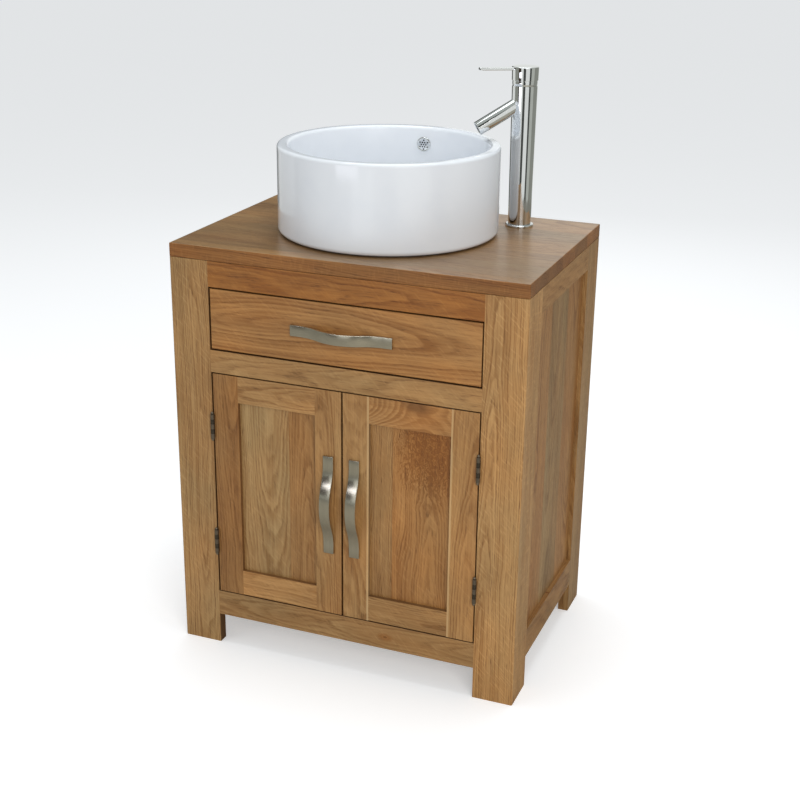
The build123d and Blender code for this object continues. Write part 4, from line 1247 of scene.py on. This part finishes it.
class BuildStage(bpy.types.Operator):
    """Pale floor, soft studio light and the camera"""

    bl_idname = "vanity.build_stage"
    bl_label = "Studio"

    def execute(self, context):
        stage = context.scene.vanity_stage
        clear_selection()
        bpy.ops.mesh.primitive_plane_add(size=FLOOR_SPAN, location=(0, 0, 0))
        floor = named("studio_floor")
        made, w, inputs = new_finish("Studio floor", 0.85, specular=0.0)
        cloud = w.noise(place_of(w), 0.7, detail=2.0)
        rays = w.node("ShaderNodeLightPath").outputs
        shade = w.blend(w.times(cloud, 0.15), tuple(stage.floor), (0.8, 0.8, 0.81))
        w.feed(inputs["Base Color"], w.blend(rays["Is Glossy Ray"], shade, tuple(stage.floor_in_gloss)))
        w.feed(inputs["Emission Color"], w.blend(rays["Is Camera Ray"], (0.0, 0.0, 0.0), (1.0, 1.0, 1.0)))
        inputs["Emission Strength"].default_value = stage.floor_glow
        floor.data.materials.append(made)

        world = bpy.data.worlds.new("Studio")
        context.scene.world = world
        world.use_nodes = True
        w = Wiring(world.node_tree)
        back = world.node_tree.nodes["Background"]
        rays = w.node("ShaderNodeLightPath").outputs
        sky = w.blend(rays["Is Glossy Ray"], tuple(value * stage.sky for value in (0.93, 0.97, 1.0)),
                      tuple(stage.room_in_gloss))
        w.feed(back.inputs["Color"], w.blend(rays["Is Camera Ray"], sky, (1.0, 1.0, 1.0)))

        for name, place, level, width, height, tint in (
            ("key", (1.75, -2.4, 1.55), 0.45, 1.2, 1.2, (1.0, 0.97, 0.93)),
            ("fill", (-2.0, -2.6, 1.4), 0.5, 1.4, 1.4, (0.93, 0.97, 1.0)),
            ("back", (-0.6, 2.8, 1.8), 0.5, 1.6, 1.2, (0.95, 0.98, 1.0)),
            ("top", (0.0, 0.2, 3.2), 0.7, 2.0, 1.6, (0.95, 0.98, 1.0)),
        ):
            lamp(name, place, (0, 0, level), width, height, getattr(stage, name), tint)
        umber, slate, shade = (0.045, 0.033, 0.022), (0.07, 0.075, 0.07), (0.27, 0.28, 0.25)
        wall, pane = (0.46, 0.48, 0.44), (0.80, 0.82, 0.80)
        for number, (turn, spread, tone) in enumerate((
            (-141, 38, slate), (-98, 40, pane), (-60, 36, shade), (-31, 23, umber), (-9.5, 20, pane),
            (11, 20, slate), (38, 34, pane), (63, 15, slate), (86, 32, wall), (132, 60, shade),
            (190, 54, pane),
        )):
            turn = math.radians(turn)
            across, back = SLAT_REACH * math.sin(turn), -SLAT_REACH * math.cos(turn)
            place = TAP_FOOT + Vector((across, back, SLAT_MIDDLE - TAP_FOOT.z))
            reflector(f"slat_{number}", place, (TAP_FOOT.x, TAP_FOOT.y, SLAT_MIDDLE),
                      SLAT_REACH * math.radians(spread), SLAT_HEIGHT, tone)
        reflector("window", (-0.34, -1.06, 0.83), (0, -0.23, 0.37), 0.44, 0.17, (3.2, 3.2, 3.5))

        clear_selection()
        bpy.ops.object.camera_add(location=stage.camera_place)
        camera = named("camera")
        side, lift = stage.azimuth, stage.elevation
        ahead = Vector((-math.sin(side) * math.cos(lift), math.cos(side) * math.cos(lift), -math.sin(lift)))
        right = ahead.cross(Vector((0, 0, 1))).normalized()
        up = right.cross(ahead)
        level = right * math.cos(stage.roll) + up * math.sin(stage.roll)
        upward = up * math.cos(stage.roll) - right * math.sin(stage.roll)
        turn = Matrix((level, upward, -ahead)).transposed().to_4x4()
        camera.matrix_world = Matrix.Translation(stage.camera_place) @ turn
        camera.data.lens = stage.lens
        camera.data.sensor_width = SENSOR_WIDTH
        context.scene.camera = camera
        context.scene.view_settings.view_transform = "Standard"
        return {"FINISHED"}


class VanityPanel(bpy.types.Panel):
    """Lists the building steps and their settings"""

    bl_idname = "VIEW3D_PT_vanity"
    bl_label = "Vanity unit"
    bl_space_type = "VIEW_3D"
    bl_region_type = "UI"
    bl_category = "Vanity"

    def draw(self, context):
        for operator in OPERATORS:
            self.layout.operator(operator.bl_idname)
        for name, kind in SETTINGS.items():
            box = self.layout.box()
            box.label(text=name.replace("_", " ").capitalize())
            for key in kind.__annotations__:
                box.prop(getattr(context.scene, name), key)


SETTINGS = {
    "vanity_oak": VanityOak,
    "vanity_metals": VanityMetals,
    "vanity_basin": VanityBasin,
    "vanity_tap": VanityTap,
    "vanity_handle": VanityHandle,
    "vanity_screw": VanityScrew,
    "vanity_stage": VanityStage,
}
OPERATORS = (
    FinishJoinery, FinishFittings, BuildBasin, BuildOverflow, BuildTapBody, BuildTapHead, BuildHandles,
    BuildHingeScrews, BuildStage,
)


def register():
    for kind in (*SETTINGS.values(), *OPERATORS, VanityPanel):
        bpy.utils.register_class(kind)
    for name, kind in SETTINGS.items():
        setattr(bpy.types.Scene, name, bpy.props.PointerProperty(type=kind))


def unregister():
    for name in SETTINGS:
        delattr(bpy.types.Scene, name)
    for kind in reversed((*SETTINGS.values(), *OPERATORS, VanityPanel)):
        bpy.utils.unregister_class(kind)


def main():
    register()
    make_groups()
    bpy.ops.vanity.finish_joinery()
    bpy.ops.vanity.finish_fittings()
    bpy.ops.vanity.build_basin()
    bpy.ops.vanity.build_overflow()
    bpy.ops.vanity.build_tap_body()
    bpy.ops.vanity.build_tap_head()
    bpy.ops.vanity.build_handles()
    bpy.ops.vanity.build_hinge_screws()
    bpy.ops.vanity.build_stage()


if __name__ == "__main__":
    main()
